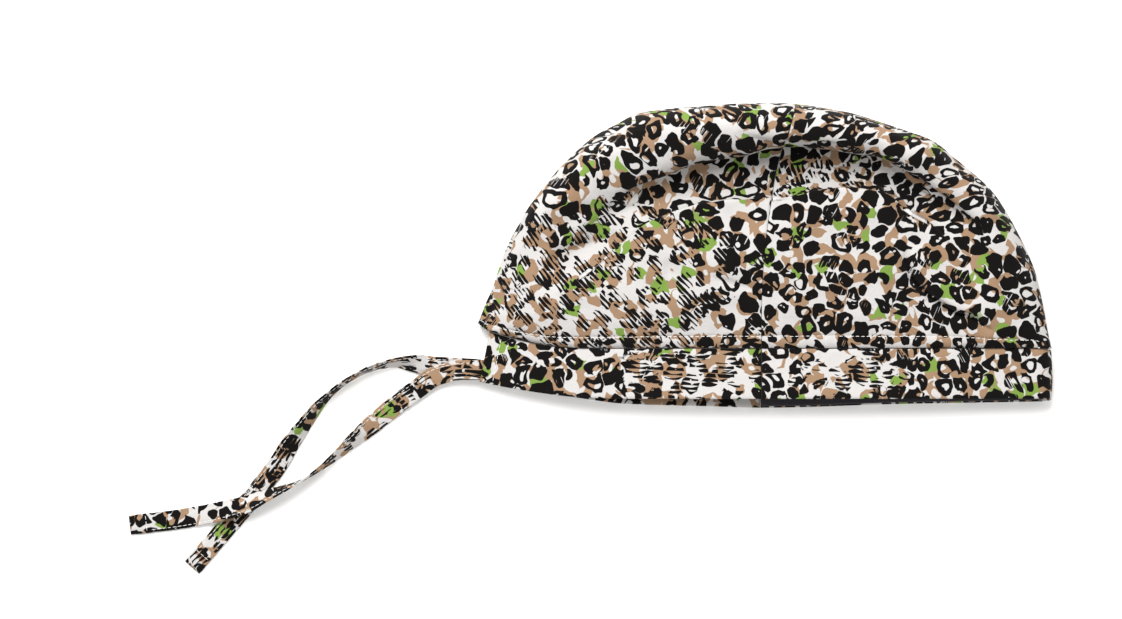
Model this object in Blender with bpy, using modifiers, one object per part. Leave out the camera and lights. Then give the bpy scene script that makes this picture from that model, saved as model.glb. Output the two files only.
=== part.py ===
"""Tie-back scrub cap lying on its side, as an assembly of thin cloth solids.

The forehead points to +X, the top of the crown to +Y, and the cap rests on Z = 0. The crown is
lofted between its outline and the band seam, and one table of sections gives its folds.
Lengths are in metres.
"""

import math
from collections import namedtuple

import bmesh
import bpy
from mathutils import Vector

MM = 0.001

# Main sizes of the flattened cap
HALF_LENGTH = 145.5 * MM
CROWN_RISE = 124.0 * MM
BAND_WIDTH = 25.5 * MM
FAR_SLIP = 4.8 * MM
ROLL_HEIGHT = 34.0 * MM
BAND_HEIGHT = 16.0 * MM
MOUTH_LIFT = 2.5 * MM

# Cloth thicknesses and the gaps between sewn pieces
CROWN_CLOTH = 1.2 * MM
BAND_CLOTH = 2.0 * MM
SWEATBAND_CLOTH = 1.2 * MM
TIE_CLOTH = 1.6 * MM
SEWN_GAP = 0.3 * MM
PANEL_GAP = 0.4 * MM

# Band seam: where it turns round the forehead, crosses the ear and reaches the centre back
FOREHEAD_RADIUS = 7.0 * MM
FOREHEAD_TURN = HALF_LENGTH - FOREHEAD_RADIUS
SIDE_SEAM_X = -2.0 * MM
SIDE_SEAM_ALONG = 0.525
SIDE_SEAM_BOW = 6.0 * MM
BACK_SEAM_X = -139.5 * MM
BACK_SEAM_RISE = 8.5 * MM
BACK_SEAM_REACH = 50.0 * MM
BAND_END_X = -144.6 * MM
MOUTH_BACK_RISE = 8.5 * MM
MOUTH_BACK_REACH = 75.0 * MM

# Sweatband: shares of the band width from the seam where it starts and ends
SWEATBAND_START = 0.08
SWEATBAND_END = 0.965

TIE_WIDTH = 10.0 * MM
TIE_REST = 0.1 * MM

# The seam lies where the cap's plan is centred on the origin
SEAM_Y = (BAND_WIDTH + FAR_SLIP - CROWN_RISE) / 2

# Mesh fineness
CROWN_COLUMNS = 64
BAND_COLUMNS = 15
BAND_ROWS = 3
TURN_STEPS = 6
TIE_STEPS = 54

# Crown outline from the back corner over the top to the forehead, as shares of the half
# length and of the rise over the seam
OutlineRow = namedtuple("OutlineRow", "reach rise")
CROWN_OUTLINE = (
    OutlineRow(-1.000, 0.100),
    OutlineRow(-0.972, 0.186),
    OutlineRow(-0.948, 0.250),
    OutlineRow(-0.906, 0.395),
    OutlineRow(-0.843, 0.535),
    OutlineRow(-0.748, 0.691),
    OutlineRow(-0.616, 0.847),
    OutlineRow(-0.514, 0.917),
    OutlineRow(-0.416, 0.966),
    OutlineRow(-0.144, 0.994),
    OutlineRow(0.063, 1.000),
    OutlineRow(0.196, 0.984),
    OutlineRow(0.357, 0.941),
    OutlineRow(0.577, 0.843),
    OutlineRow(0.748, 0.691),
    OutlineRow(0.836, 0.568),
    OutlineRow(0.931, 0.350),
    OutlineRow(0.966, 0.198),
    OutlineRow(0.985, 0.080),
    OutlineRow(1.000, 0.000),
)

# Folds of the near wall. The first columns are shares of the way from the outline to the seam,
# the last four are heights as shares of the roll height.
FoldRow = namedtuple("FoldRow", "along roll_at valley_at ridge_at rim roll valley ridge")
CROWN_FOLDS = (
    FoldRow(0.00, 0.35, 0.55, 0.75, 0.15, 0.25, 0.27, 0.27),
    FoldRow(0.06, 0.30, 0.50, 0.70, 0.19, 0.42, 0.44, 0.43),
    FoldRow(0.14, 0.25, 0.44, 0.62, 0.24, 0.62, 0.60, 0.58),
    FoldRow(0.22, 0.17, 0.38, 0.55, 0.28, 0.80, 0.60, 0.65),
    FoldRow(0.30, 0.13, 0.35, 0.52, 0.30, 0.93, 0.48, 0.71),
    FoldRow(0.40, 0.11, 0.31, 0.43, 0.32, 1.00, 0.38, 0.74),
    FoldRow(0.50, 0.10, 0.27, 0.39, 0.32, 1.00, 0.35, 0.74),
    FoldRow(0.60, 0.09, 0.24, 0.34, 0.32, 0.97, 0.35, 0.72),
    FoldRow(0.70, 0.09, 0.25, 0.37, 0.30, 0.90, 0.45, 0.68),
    FoldRow(0.78, 0.13, 0.30, 0.46, 0.28, 0.78, 0.60, 0.66),
    FoldRow(0.86, 0.22, 0.40, 0.55, 0.25, 0.66, 0.64, 0.63),
    FoldRow(0.94, 0.30, 0.50, 0.70, 0.23, 0.54, 0.54, 0.53),
    FoldRow(1.00, 0.35, 0.55, 0.75, 0.206, 0.40, 0.412, 0.412),
)

# Rows of the near wall between those features, as shares of each stretch
ROLL_STEPS = (0.0, 0.06, 0.22, 0.5, 0.8)
VALLEY_STEPS = (0.0, 0.3, 0.5, 0.7)
RIDGE_STEPS = (0.0, 0.33, 0.67)
BELLY_STEPS = (0.0, 0.25, 0.5, 0.72, 0.88, 0.96, 1.0)
FLOOR_STEPS = (0.0, 0.04, 0.16, 0.4, 0.7, 1.0)
FLOOR_RUN = (0.25, 0.5, 0.75, 1.0)
FLOOR_TURN = 1.3

# Height of the near band over the surface and slip of the far wall past the near one
BandRow = namedtuple("BandRow", "reach height slip lift")
BAND_SHAPE = (
    BandRow(-1.00, 0.52, 0.00, 0.00),
    BandRow(-0.72, 0.78, 0.10, 0.45),
    BandRow(-0.50, 0.90, 0.60, 0.80),
    BandRow(-0.20, 0.98, 0.85, 1.00),
    BandRow(0.00, 1.00, 1.00, 1.00),
    BandRow(0.50, 0.97, 0.60, 0.80),
    BandRow(0.80, 0.91, 0.45, 0.30),
    BandRow(1.00, 2 * FOREHEAD_RADIUS / BAND_HEIGHT, 0.35, 0.00),
)

# Routes of the ties from the band ends: plan position in mm, height of the lower edge over the
# surface in mm, and twist in degrees
TieRow = namedtuple("TieRow", "x y lift twist")
UPPER_TIE = (
    TieRow(-144.9, -58.0, 6.3, 0),
    TieRow(-154.7, -58.0, 5.0, 0),
    TieRow(-161.1, -59.3, 3.9, 0),
    TieRow(-168.7, -61.9, 3.1, 0),
    TieRow(-176.4, -67.6, 2.3, 0),
    TieRow(-186.5, -75.2, 1.0, 0),
    TieRow(-196.7, -83.5, 0.1, 12),
    TieRow(-205.6, -91.1, 0.0, 38),
    TieRow(-214.5, -98.7, 0.0, 58),
    TieRow(-223.5, -106.4, 0.0, 75),
    TieRow(-233.6, -113.2, 0.3, 90),
    TieRow(-243.8, -117.9, 1.6, 108),
    TieRow(-254.0, -122.2, 2.4, 128),
    TieRow(-261.6, -125.6, 2.5, 145),
    TieRow(-274.4, -129.3, 2.1, 165),
    TieRow(-288.3, -132.3, 0.2, 178),
    TieRow(-301.1, -134.4, 0.0, 180),
    TieRow(-322.7, -136.9, 0.0, 180),
)
LOWER_TIE = (
    TieRow(-144.9, -57.5, 0.2, 0),
    TieRow(-154.7, -56.8, 0.0, 0),
    TieRow(-166.2, -56.2, 0.0, 0),
    TieRow(-171.5, -55.6, 0.0, 4),
    TieRow(-178.0, -54.6, 0.0, 26),
    TieRow(-186.5, -54.2, 0.0, 60),
    TieRow(-196.7, -56.2, 0.0, 72),
    TieRow(-208.2, -61.1, 0.0, 77),
    TieRow(-218.4, -68.2, 0.0, 75),
    TieRow(-227.3, -77.1, 0.0, 60),
    TieRow(-234.9, -87.3, 0.0, 42),
    TieRow(-241.3, -96.2, 0.0, 22),
    TieRow(-247.6, -106.4, 0.0, 6),
    TieRow(-255.3, -116.6, 0.0, 0),
    TieRow(-264.2, -127.2, 0.0, 0),
    TieRow(-279.4, -144.9, 0.0, 0),
    TieRow(-291.1, -158.3, 0.0, 0),
)

PRINTED_COTTON = ("printed_cotton", (0.62, 0.57, 0.52, 1.0), 0.85)
SWEATBAND_KNIT = ("sweatband_knit", (0.045, 0.042, 0.046, 1.0), 0.95)


def clear_scene():
    """Removes what the scene holds, so that the script gives the same model each run."""
    for old in list(bpy.data.objects):
        bpy.data.objects.remove(old, do_unlink=True)


def smooth_at(rows, key, column, position):
    """Reads a column of a table at a position, smoothly and without overshoot."""
    keys = [getattr(row, key) for row in rows]
    values = [getattr(row, column) for row in rows]
    position = min(max(position, keys[0]), keys[-1])
    left = max(i for i in range(len(keys) - 1) if keys[i] <= position)
    rates = [
        (values[i + 1] - values[i]) / (keys[i + 1] - keys[i]) for i in range(len(keys) - 1)
    ]

    def slope(i):
        before = rates[max(i - 1, 0)]
        after = rates[min(i, len(rates) - 1)]
        return 0.0 if before * after <= 0 else 2 * before * after / (before + after)

    width = keys[left + 1] - keys[left]
    t = (position - keys[left]) / width
    start = (1 + 2 * t) * (1 - t) ** 2 * values[left] + t * (1 - t) ** 2 * width * slope(left)
    end = t * t * (3 - 2 * t) * values[left + 1] + t * t * (t - 1) * width * slope(left + 1)
    return start + end


def ease(share):
    """Goes from 0 to 1 with a level start and end."""
    return share * share * (3 - 2 * share)


def curve_through(points, steps=12):
    """Gives a dense smooth polyline through the points."""
    ends = [2 * points[0] - points[1]] + list(points) + [2 * points[-1] - points[-2]]
    dense = []
    for a, b, c, d in zip(ends, ends[1:], ends[2:], ends[3:]):
        for step in range(steps):
            t = step / steps
            dense.append(
                0.5
                * (
                    2 * b
                    + (c - a) * t
                    + (2 * a - 5 * b + 4 * c - d) * t ** 2
                    + (3 * b - a - 3 * c + d) * t ** 3
                )
            )
    return dense + [points[-1].copy()]


def resample(dense, count):
    """Gives count + 1 points at equal distances along a polyline."""
    reached = [0.0]
    for a, b in zip(dense, dense[1:]):
        reached.append(reached[-1] + (b.xy - a.xy).length)
    points = []
    left = 0
    for step in range(count + 1):
        target = reached[-1] * step / count
        while left < len(dense) - 2 and reached[left + 1] < target:
            left += 1
        share = (target - reached[left]) / (reached[left + 1] - reached[left])
        points.append(dense[left].lerp(dense[left + 1], share))
    return points


def outline_points(steps=400):
    """Gives the crown's outline in plan, at equal distances."""
    rows = [
        Vector((row.reach * HALF_LENGTH, SEAM_Y + row.rise * CROWN_RISE, 0))
        for row in CROWN_OUTLINE
    ]
    return resample(curve_through(rows), steps)


OUTLINE = outline_points()


def outline_at(along):
    """Gives the outline's plan point at a share of its length."""
    place = min(max(along, 0.0), 1.0) * (len(OUTLINE) - 1)
    left = min(int(place), len(OUTLINE) - 2)
    return OUTLINE[left].lerp(OUTLINE[left + 1], place - left)


def band_height(x):
    """Gives the height of the near band's outer face over the surface."""
    return BAND_HEIGHT * smooth_at(BAND_SHAPE, "reach", "height", x / FOREHEAD_TURN)


def far_slip(x):
    """Gives how far the resting wall lies past the near one, towards the mouth."""
    return FAR_SLIP * smooth_at(BAND_SHAPE, "reach", "slip", x / FOREHEAD_TURN)


def seam_y(x):
    """Gives the band seam's line in plan, which rises towards the centre back."""
    bend = max(0.0, 1 - (max(x, BACK_SEAM_X) - BACK_SEAM_X) / BACK_SEAM_REACH)
    return SEAM_Y + BACK_SEAM_RISE * bend ** 2


def mouth_y(x):
    """Gives the line of the near band's free edge in plan."""
    bend = max(0.0, 1 - (max(x, BAND_END_X) - BAND_END_X) / MOUTH_BACK_REACH)
    return SEAM_Y - BAND_WIDTH + MOUTH_BACK_RISE * bend ** 2


def seam_x(along):
    """Gives where a crown column meets the seam: linear on each side of the ear seam."""
    if along <= SIDE_SEAM_ALONG:
        share = along / SIDE_SEAM_ALONG
        return BACK_SEAM_X + share * (SIDE_SEAM_X - BACK_SEAM_X)
    share = (along - SIDE_SEAM_ALONG) / (1 - SIDE_SEAM_ALONG)
    return SIDE_SEAM_X + share * (FOREHEAD_TURN - SIDE_SEAM_X)


def crown_plan(along, across, slips):
    """Gives a crown point in plan, between the outline and the seam."""
    rim = outline_at(along)
    x = seam_x(along)
    seam = Vector((x, seam_y(x) + SEWN_GAP / 2 - (far_slip(x) if slips else 0.0), 0))
    point = rim.lerp(seam, across)
    point.x -= SIDE_SEAM_BOW * 4 * along * (1 - along) * math.sin(math.pi * across)
    return point


def crown_column(along):
    """Gives one column of the crown, from the near seam over the outline to the far seam."""
    fold = {
        name: smooth_at(CROWN_FOLDS, "along", name, along) for name in FoldRow._fields[1:]
    }
    rim = fold["rim"] * ROLL_HEIGHT
    roll = fold["roll"] * ROLL_HEIGHT
    valley = fold["valley"] * ROLL_HEIGHT
    ridge = fold["ridge"] * ROLL_HEIGHT
    seam = band_height(seam_x(along))
    near = []
    for step in ROLL_STEPS:
        height = rim + (roll - rim) * math.sqrt(1 - (1 - step) ** 2)
        near.append((step * fold["roll_at"], height))
    for step in VALLEY_STEPS:
        place = fold["roll_at"] + step * (fold["valley_at"] - fold["roll_at"])
        near.append((place, roll + (valley - roll) * ease(step)))
    for step in RIDGE_STEPS:
        place = fold["valley_at"] + step * (fold["ridge_at"] - fold["valley_at"])
        near.append((place, valley + (ridge - valley) * ease(step)))
    for step in BELLY_STEPS:
        place = fold["ridge_at"] + step * (1 - fold["ridge_at"])
        near.append((place, ridge + (seam - ridge) * step ** 2.6))
    column = []
    for place, height in reversed(near):
        point = crown_plan(along, place, False)
        point.z = height
        column.append(point)
    turn = min(FLOOR_TURN * fold["roll_at"], 0.8)
    far = [(step * turn, rim * (1 - math.sqrt(1 - (1 - step) ** 2))) for step in FLOOR_STEPS]
    far += [(turn + step * (1 - turn), 0.0) for step in FLOOR_RUN]
    for place, height in far[1:]:
        point = crown_plan(along, place, True)
        point.z = height
        column.append(point)
    return column


def band_point(x, across, near, inset=0.0):
    """Gives a point of the band's outer face, or of a face set in from it."""
    if near:
        y = seam_y(x) + across * (mouth_y(x) - seam_y(x))
        lift = MOUTH_LIFT * smooth_at(BAND_SHAPE, "reach", "lift", x / FOREHEAD_TURN)
        return Vector((x, y, band_height(x) + lift * across ** 2 - inset))
    y = seam_y(x) + across * (mouth_y(x) - seam_y(x)) - far_slip(x)
    return Vector((x, y, inset))


def band_end_column(across_list, near):
    """Gives the hemmed end of a rear band, which slants outwards to the mouth."""
    column = []
    for across in across_list:
        x = BACK_SEAM_X + across * (BAND_END_X - BACK_SEAM_X)
        column.append((x, across))
    return [band_point(x, across, near) for x, across in column]


def grid_object(name, columns, cloth, offset, look, collection):
    """Makes a cloth piece: an open grid of faces that Solidify turns into a closed shell."""
    mesh = bmesh.new()
    grid = [[mesh.verts.new(point) for point in column] for column in columns]
    for left, right in zip(grid, grid[1:]):
        for i in range(len(left) - 1):
            mesh.faces.new((left[i], left[i + 1], right[i + 1], right[i]))
    data = bpy.data.meshes.new(name)
    mesh.to_mesh(data)
    mesh.free()
    piece = bpy.data.objects.new(name, data)
    collection.objects.link(piece)
    data.materials.append(look)
    solid = piece.modifiers.new("Solidify", "SOLIDIFY")
    solid.thickness = cloth
    solid.offset = offset
    solid.use_even_offset = True
    return piece


def finish(name, colour, roughness):
    """Makes a plain cloth material."""
    look = bpy.data.materials.new(name)
    look.use_nodes = True
    shader = look.node_tree.nodes["Principled BSDF"]
    shader.inputs["Base Color"].default_value = colour
    shader.inputs["Roughness"].default_value = roughness
    shader.inputs["Metallic"].default_value = 0.0
    return look


def spread(start, end, count):
    """Gives count + 1 even values from start to end."""
    return [start + (end - start) * i / count for i in range(count + 1)]


def build_crown(collection, look):
    """Makes the two crown panels, which meet at the ear-to-ear seam."""
    half_gap = PANEL_GAP / 2 / (FOREHEAD_TURN - BACK_SEAM_X)
    share = round(CROWN_COLUMNS * SIDE_SEAM_ALONG)
    back = spread(0.0, SIDE_SEAM_ALONG - half_gap, share)
    front = spread(SIDE_SEAM_ALONG + half_gap, 1.0, CROWN_COLUMNS - share)
    for name, places in (("crown_back", back), ("crown_front", front)):
        columns = [crown_column(along) for along in reversed(places)]
        grid_object(name, columns, CROWN_CLOTH, -1.0, look, collection)


def build_rear_bands(collection, look):
    """Makes the rear band's near and resting halves, each with a hemmed end."""
    start = SEWN_GAP / 2 / BAND_WIDTH
    across_list = spread(start, 1.0, BAND_ROWS)
    for name, near in (("band_back_upper", True), ("band_back_lower", False)):
        side = SIDE_SEAM_X - SEWN_GAP / 2
        columns = []
        for share in spread(0.0, 1.0, BAND_COLUMNS):
            column = []
            for across in across_list:
                end = BACK_SEAM_X + across * (BAND_END_X - BACK_SEAM_X)
                column.append(band_point(side + share * (end - side), across, near))
            columns.append(column)
        if near:
            columns.reverse()
        grid_object(name, columns, BAND_CLOTH, -1.0, look, collection)


def turn_column(share, across, inset):
    """Gives a point on the turn round the forehead, from the near wall to the resting one."""
    near = band_point(FOREHEAD_TURN, across, True, inset)
    far = band_point(FOREHEAD_TURN, across, False, inset)
    angle = math.pi * share
    radius = (near.z - far.z) / 2
    point = near.lerp(far, (1 - math.cos(angle)) / 2)
    point.x += radius * math.sin(angle)
    return point


def front_ring(across_list, inset):
    """Gives the columns of a piece that goes round the forehead, from side seam to side seam."""
    side = SIDE_SEAM_X + SEWN_GAP / 2
    columns = []
    for x in spread(side, FOREHEAD_TURN, BAND_COLUMNS)[:-1]:
        columns.append([band_point(x, across, True, inset) for across in across_list])
    for share in spread(0.0, 1.0, TURN_STEPS):
        columns.append([turn_column(share, across, inset) for across in across_list])
    for x in spread(FOREHEAD_TURN, side, BAND_COLUMNS)[1:]:
        columns.append([band_point(x, across, False, inset) for across in across_list])
    return columns


def build_front_band(collection, cotton, knit):
    """Makes the front band and the sweatband inside it."""
    start = SEWN_GAP / 2 / BAND_WIDTH
    outer = front_ring(spread(start, 1.0, BAND_ROWS), 0.0)
    grid_object("band_front", outer, BAND_CLOTH, -1.0, cotton, collection)
    rows = spread(SWEATBAND_START, SWEATBAND_END, BAND_ROWS)
    inner = front_ring(rows, BAND_CLOTH + SEWN_GAP)
    grid_object("sweatband", inner, SWEATBAND_CLOTH, -1.0, knit, collection)


def tie_columns(route):
    """Gives the long edges and the middle of a flat tie that follows its route."""
    half = TIE_WIDTH / 2
    dense = curve_through([Vector((row.x * MM, row.y * MM, row.lift * MM)) for row in route])
    twists = curve_through([Vector((row.twist, 0, 0)) for row in route])
    places = resample([Vector((p.x, p.y, i)) for i, p in enumerate(dense)], TIE_STEPS)
    centres = []
    for place in places:
        left = min(int(place.z), len(dense) - 2)
        share = place.z - left
        lift = max(dense[left].lerp(dense[left + 1], share).z, TIE_REST)
        twist = math.radians(twists[left].lerp(twists[left + 1], share).x)
        rise = lift + half * abs(math.sin(twist)) + TIE_CLOTH / 2 * abs(math.cos(twist))
        centres.append((Vector((place.x, place.y, rise)), twist))
    columns = []
    for i, (centre, twist) in enumerate(centres):
        before = centres[max(i - 1, 0)][0]
        after = centres[min(i + 1, len(centres) - 1)][0]
        run = (after - before).normalized()
        level = run.cross(Vector((0, 0, 1))).normalized()
        upright = level.cross(run)
        wide = math.cos(twist) * level + math.sin(twist) * upright
        columns.append([centre + wide * half * side for side in (-1, 0, 1)])
    return columns


def build_ties(collection, look):
    """Makes the two flat ties that leave the band ends."""
    for name, route in (("tie_upper", UPPER_TIE), ("tie_lower", LOWER_TIE)):
        grid_object(name, tie_columns(route), TIE_CLOTH, 0.0, look, collection)


def main():
    """Builds the whole cap."""
    clear_scene()
    collection = bpy.data.collections.new("scrub_cap")
    bpy.context.scene.collection.children.link(collection)
    cotton = finish(*PRINTED_COTTON)
    knit = finish(*SWEATBAND_KNIT)
    build_crown(collection, cotton)
    build_rear_bands(collection, cotton)
    build_front_band(collection, cotton, knit)
    build_ties(collection, cotton)


main()
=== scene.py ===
"""Studio look of a tie-back cotton scrub cap that lies on its side.

The forehead points to +X, the top of the crown to +Y, and the cap rests on Z = 0. Cloth is worked
out in millimetres and turned to metres when a mesh is made. Every printed piece carries flat-cloth
coordinates, so that the print lies on it as it would on the cut cloth.
"""

import logging
import math
from dataclasses import dataclass, field
from enum import Enum
from typing import NamedTuple

import bmesh
import bpy
import numpy as np
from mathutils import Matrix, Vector

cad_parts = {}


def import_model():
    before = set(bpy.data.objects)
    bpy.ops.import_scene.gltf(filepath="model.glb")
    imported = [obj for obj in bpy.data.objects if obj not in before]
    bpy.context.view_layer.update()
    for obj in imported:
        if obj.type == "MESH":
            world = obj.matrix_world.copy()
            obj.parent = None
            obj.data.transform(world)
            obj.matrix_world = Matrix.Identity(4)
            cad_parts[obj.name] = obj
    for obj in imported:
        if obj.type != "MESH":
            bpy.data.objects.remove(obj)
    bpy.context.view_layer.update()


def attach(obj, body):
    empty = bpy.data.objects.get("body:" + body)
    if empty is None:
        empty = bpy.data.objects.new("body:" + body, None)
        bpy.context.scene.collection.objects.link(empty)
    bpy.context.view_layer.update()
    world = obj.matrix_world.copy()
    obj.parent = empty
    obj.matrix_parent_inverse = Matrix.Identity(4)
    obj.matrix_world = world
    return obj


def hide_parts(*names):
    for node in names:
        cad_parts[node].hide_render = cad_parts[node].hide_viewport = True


LOG = logging.getLogger("scrub_cap")
Tree = bpy.types.NodeTree
Socket = bpy.types.NodeSocket
MM = 0.001
# One unit of the flat-cloth coordinates in millimetres
PRINT_UNIT = 100.0
BODY = "root"
COTTON_SLOT = "printed_cotton"
KNIT_SLOT = "sweatband_knit"


class OutlineRow(NamedTuple):
    """Point of the crown's outline, as shares of the half length and of the rise."""

    reach: float
    rise: float


class SectionRow(NamedTuple):
    """Section of the near wall: places are shares from outline to seam, the rest are heights."""

    along: float
    rim: float
    top_at: float
    top: float
    lip_at: float
    lip: float
    tuck: float
    valley_at: float
    valley: float
    ridge_at: float
    ridge: float


class BandRow(NamedTuple):
    """Height of the near band, slip of the resting one and lift of the mouth, as shares."""

    reach: float
    height: float
    slip: float
    lift: float


class TieRow(NamedTuple):
    """Point of a tie's route: plan place and lift in mm, and twist in degrees."""

    x: float
    y: float
    lift: float
    twist: float


CROWN_OUTLINE = (
    OutlineRow(-1.000, 0.100),
    OutlineRow(-0.972, 0.186),
    OutlineRow(-0.948, 0.250),
    OutlineRow(-0.906, 0.395),
    OutlineRow(-0.843, 0.535),
    OutlineRow(-0.748, 0.691),
    OutlineRow(-0.616, 0.847),
    OutlineRow(-0.514, 0.917),
    OutlineRow(-0.416, 0.966),
    OutlineRow(-0.144, 0.994),
    OutlineRow(0.063, 1.000),
    OutlineRow(0.196, 0.984),
    OutlineRow(0.357, 0.941),
    OutlineRow(0.577, 0.843),
    OutlineRow(0.748, 0.691),
    OutlineRow(0.836, 0.568),
    OutlineRow(0.931, 0.350),
    OutlineRow(0.966, 0.198),
    OutlineRow(0.985, 0.080),
    OutlineRow(1.000, 0.000),
)

CROWN_SECTIONS = (
    SectionRow(0.000, 0.150, 0.2, 0.2, 0.400, 0.24, 0.0, 0.550, 0.26, 0.750, 0.27),
    SectionRow(0.060, 0.190, 0.2, 0.36, 0.400, 0.43, 0.0, 0.500, 0.44, 0.700, 0.43),
    SectionRow(0.140, 0.240, 0.18, 0.61, 0.380, 0.6, 0.0, 0.480, 0.59, 0.640, 0.57),
    SectionRow(0.220, 0.280, 0.15, 0.78, 0.350, 0.68, 0.0, 0.500, 0.52, 0.610, 0.62),
    SectionRow(0.300, 0.300, 0.13, 0.92, 0.325, 0.62, 0.8, 0.420, 0.46, 0.535, 0.67),
    SectionRow(0.367, 0.310, 0.12, 0.98, 0.293, 0.6, 2.6, 0.345, 0.4, 0.452, 0.72),
    SectionRow(0.417, 0.320, 0.11, 1, 0.250, 0.58, 4.0, 0.290, 0.32, 0.412, 0.73),
    SectionRow(0.460, 0.320, 0.1, 1, 0.225, 0.55, 5.6, 0.262, 0.24, 0.398, 0.74),
    SectionRow(0.500, 0.320, 0.095, 1, 0.195, 0.54, 6.2, 0.235, 0.21, 0.388, 0.74),
    SectionRow(0.545, 0.320, 0.09, 1, 0.180, 0.54, 6.2, 0.218, 0.21, 0.375, 0.73),
    SectionRow(0.600, 0.320, 0.085, 0.97, 0.164, 0.56, 5.2, 0.198, 0.26, 0.320, 0.71),
    SectionRow(0.660, 0.310, 0.085, 0.93, 0.152, 0.62, 2.8, 0.190, 0.32, 0.286, 0.7),
    SectionRow(0.700, 0.300, 0.09, 0.9, 0.168, 0.64, 2.2, 0.212, 0.38, 0.315, 0.68),
    SectionRow(0.740, 0.290, 0.1, 0.84, 0.185, 0.67, 1.6, 0.235, 0.46, 0.330, 0.64),
    SectionRow(0.790, 0.280, 0.13, 0.78, 0.190, 0.7, 1.0, 0.250, 0.57, 0.400, 0.63),
    SectionRow(0.860, 0.250, 0.18, 0.66, 0.300, 0.67, 0.0, 0.400, 0.63, 0.550, 0.63),
    SectionRow(0.940, 0.230, 0.22, 0.5, 0.400, 0.54, 0.0, 0.500, 0.54, 0.700, 0.53),
    SectionRow(1.000, 0.206, 0.2, 0.33, 0.400, 0.4, 0.0, 0.550, 0.412, 0.750, 0.412),
)

BAND_SHAPE = (
    BandRow(-1.00, 0.52, 0.00, 0.00),
    BandRow(-0.72, 0.78, 0.10, 0.45),
    BandRow(-0.50, 0.90, 0.60, 0.80),
    BandRow(-0.20, 0.98, 0.85, 1.00),
    BandRow(0.00, 1.00, 1.00, 1.00),
    BandRow(0.50, 0.97, 0.60, 0.80),
    BandRow(0.80, 0.91, 0.45, 0.30),
    BandRow(1.00, 0.875, 0.35, 0.00),
)

UPPER_TIE = (
    TieRow(-144.9, -58.0, 6.3, 0),
    TieRow(-154.7, -58.0, 5.0, 0),
    TieRow(-161.1, -59.3, 3.9, 0),
    TieRow(-168.7, -61.9, 3.1, 0),
    TieRow(-176.4, -67.6, 2.3, 0),
    TieRow(-186.5, -75.2, 1.0, 0),
    TieRow(-196.7, -83.5, 0.1, 12),
    TieRow(-205.6, -91.1, 0.0, 38),
    TieRow(-214.5, -98.7, 0.0, 58),
    TieRow(-223.5, -106.4, 0.0, 75),
    TieRow(-233.6, -113.2, 0.3, 90),
    TieRow(-243.8, -117.9, 1.6, 108),
    TieRow(-254.0, -122.2, 2.4, 128),
    TieRow(-261.6, -125.6, 2.5, 145),
    TieRow(-274.4, -129.3, 2.1, 165),
    TieRow(-288.3, -132.3, 0.2, 178),
    TieRow(-301.1, -134.4, 0.0, 180),
    TieRow(-322.7, -136.9, 0.0, 180),
)
LOWER_TIE = (
    TieRow(-144.9, -57.5, 0.2, 0),
    TieRow(-154.7, -56.8, 0.0, 0),
    TieRow(-166.2, -56.2, 0.0, 0),
    TieRow(-171.5, -55.6, 0.0, 4),
    TieRow(-178.0, -54.6, 0.0, 26),
    TieRow(-186.5, -54.2, 0.0, 60),
    TieRow(-196.7, -56.2, 0.0, 72),
    TieRow(-208.2, -61.1, 0.0, 77),
    TieRow(-218.4, -68.2, 0.0, 75),
    TieRow(-227.3, -77.1, 0.0, 60),
    TieRow(-234.9, -87.3, 0.0, 42),
    TieRow(-241.3, -96.2, 0.0, 22),
    TieRow(-247.6, -106.4, 0.0, 6),
    TieRow(-255.3, -116.6, 0.0, 0),
    TieRow(-264.2, -127.2, 0.0, 0),
    TieRow(-279.4, -144.9, 0.0, 0),
    TieRow(-291.1, -158.3, 0.0, 0),
)


# Helpers for curves, grids and smooth unevenness


def table_at(rows: tuple, key: str, column: str, places: np.ndarray) -> np.ndarray:
    """Reads a column of a table, smoothly and without overshoot.

    Args:
        rows: The table, in rising order of its key.
        key: Name of the column that holds the places.
        column: Name of the column to read.
        places: Where to read it.

    Returns:
        The column's values at the places.
    """
    keys = np.array([getattr(row, key) for row in rows], float)
    values = np.array([getattr(row, column) for row in rows], float)
    rates = np.diff(values) / np.diff(keys)
    before = np.concatenate([rates[:1], rates])
    after = np.concatenate([rates, rates[-1:]])
    both = before * after
    total = np.where(both > 0, before + after, 1.0)
    slopes = np.where(both > 0, 2 * both / total, 0.0)
    places = np.clip(places, keys[0], keys[-1])
    left = np.clip(np.searchsorted(keys, places, side="right") - 1, 0, len(keys) - 2)
    width = keys[left + 1] - keys[left]
    t = (places - keys[left]) / width
    start = (1 + 2 * t) * (1 - t) ** 2 * values[left] + t * (1 - t) ** 2 * width * slopes[left]
    end = t * t * (3 - 2 * t) * values[left + 1] + t * t * (t - 1) * width * slopes[left + 1]
    return start + end


def smooth_route(points: np.ndarray, steps: int = 12) -> np.ndarray:
    """Gives a dense smooth line through points.

    Args:
        points: One row for each point.
        steps: How many steps each stretch gets.

    Returns:
        The dense points, one row each.
    """
    ends = np.vstack([2 * points[0] - points[1], points, 2 * points[-1] - points[-2]])
    t = np.linspace(0, 1, steps, endpoint=False)[:, None]
    parts = []
    for a, b, c, d in zip(ends, ends[1:], ends[2:], ends[3:]):
        bend = (2 * a - 5 * b + 4 * c - d) * t ** 2 + (3 * b - a - 3 * c + d) * t ** 3
        parts.append(0.5 * (2 * b + (c - a) * t + bend))
    return np.vstack(parts + [points[-1:]])


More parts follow.
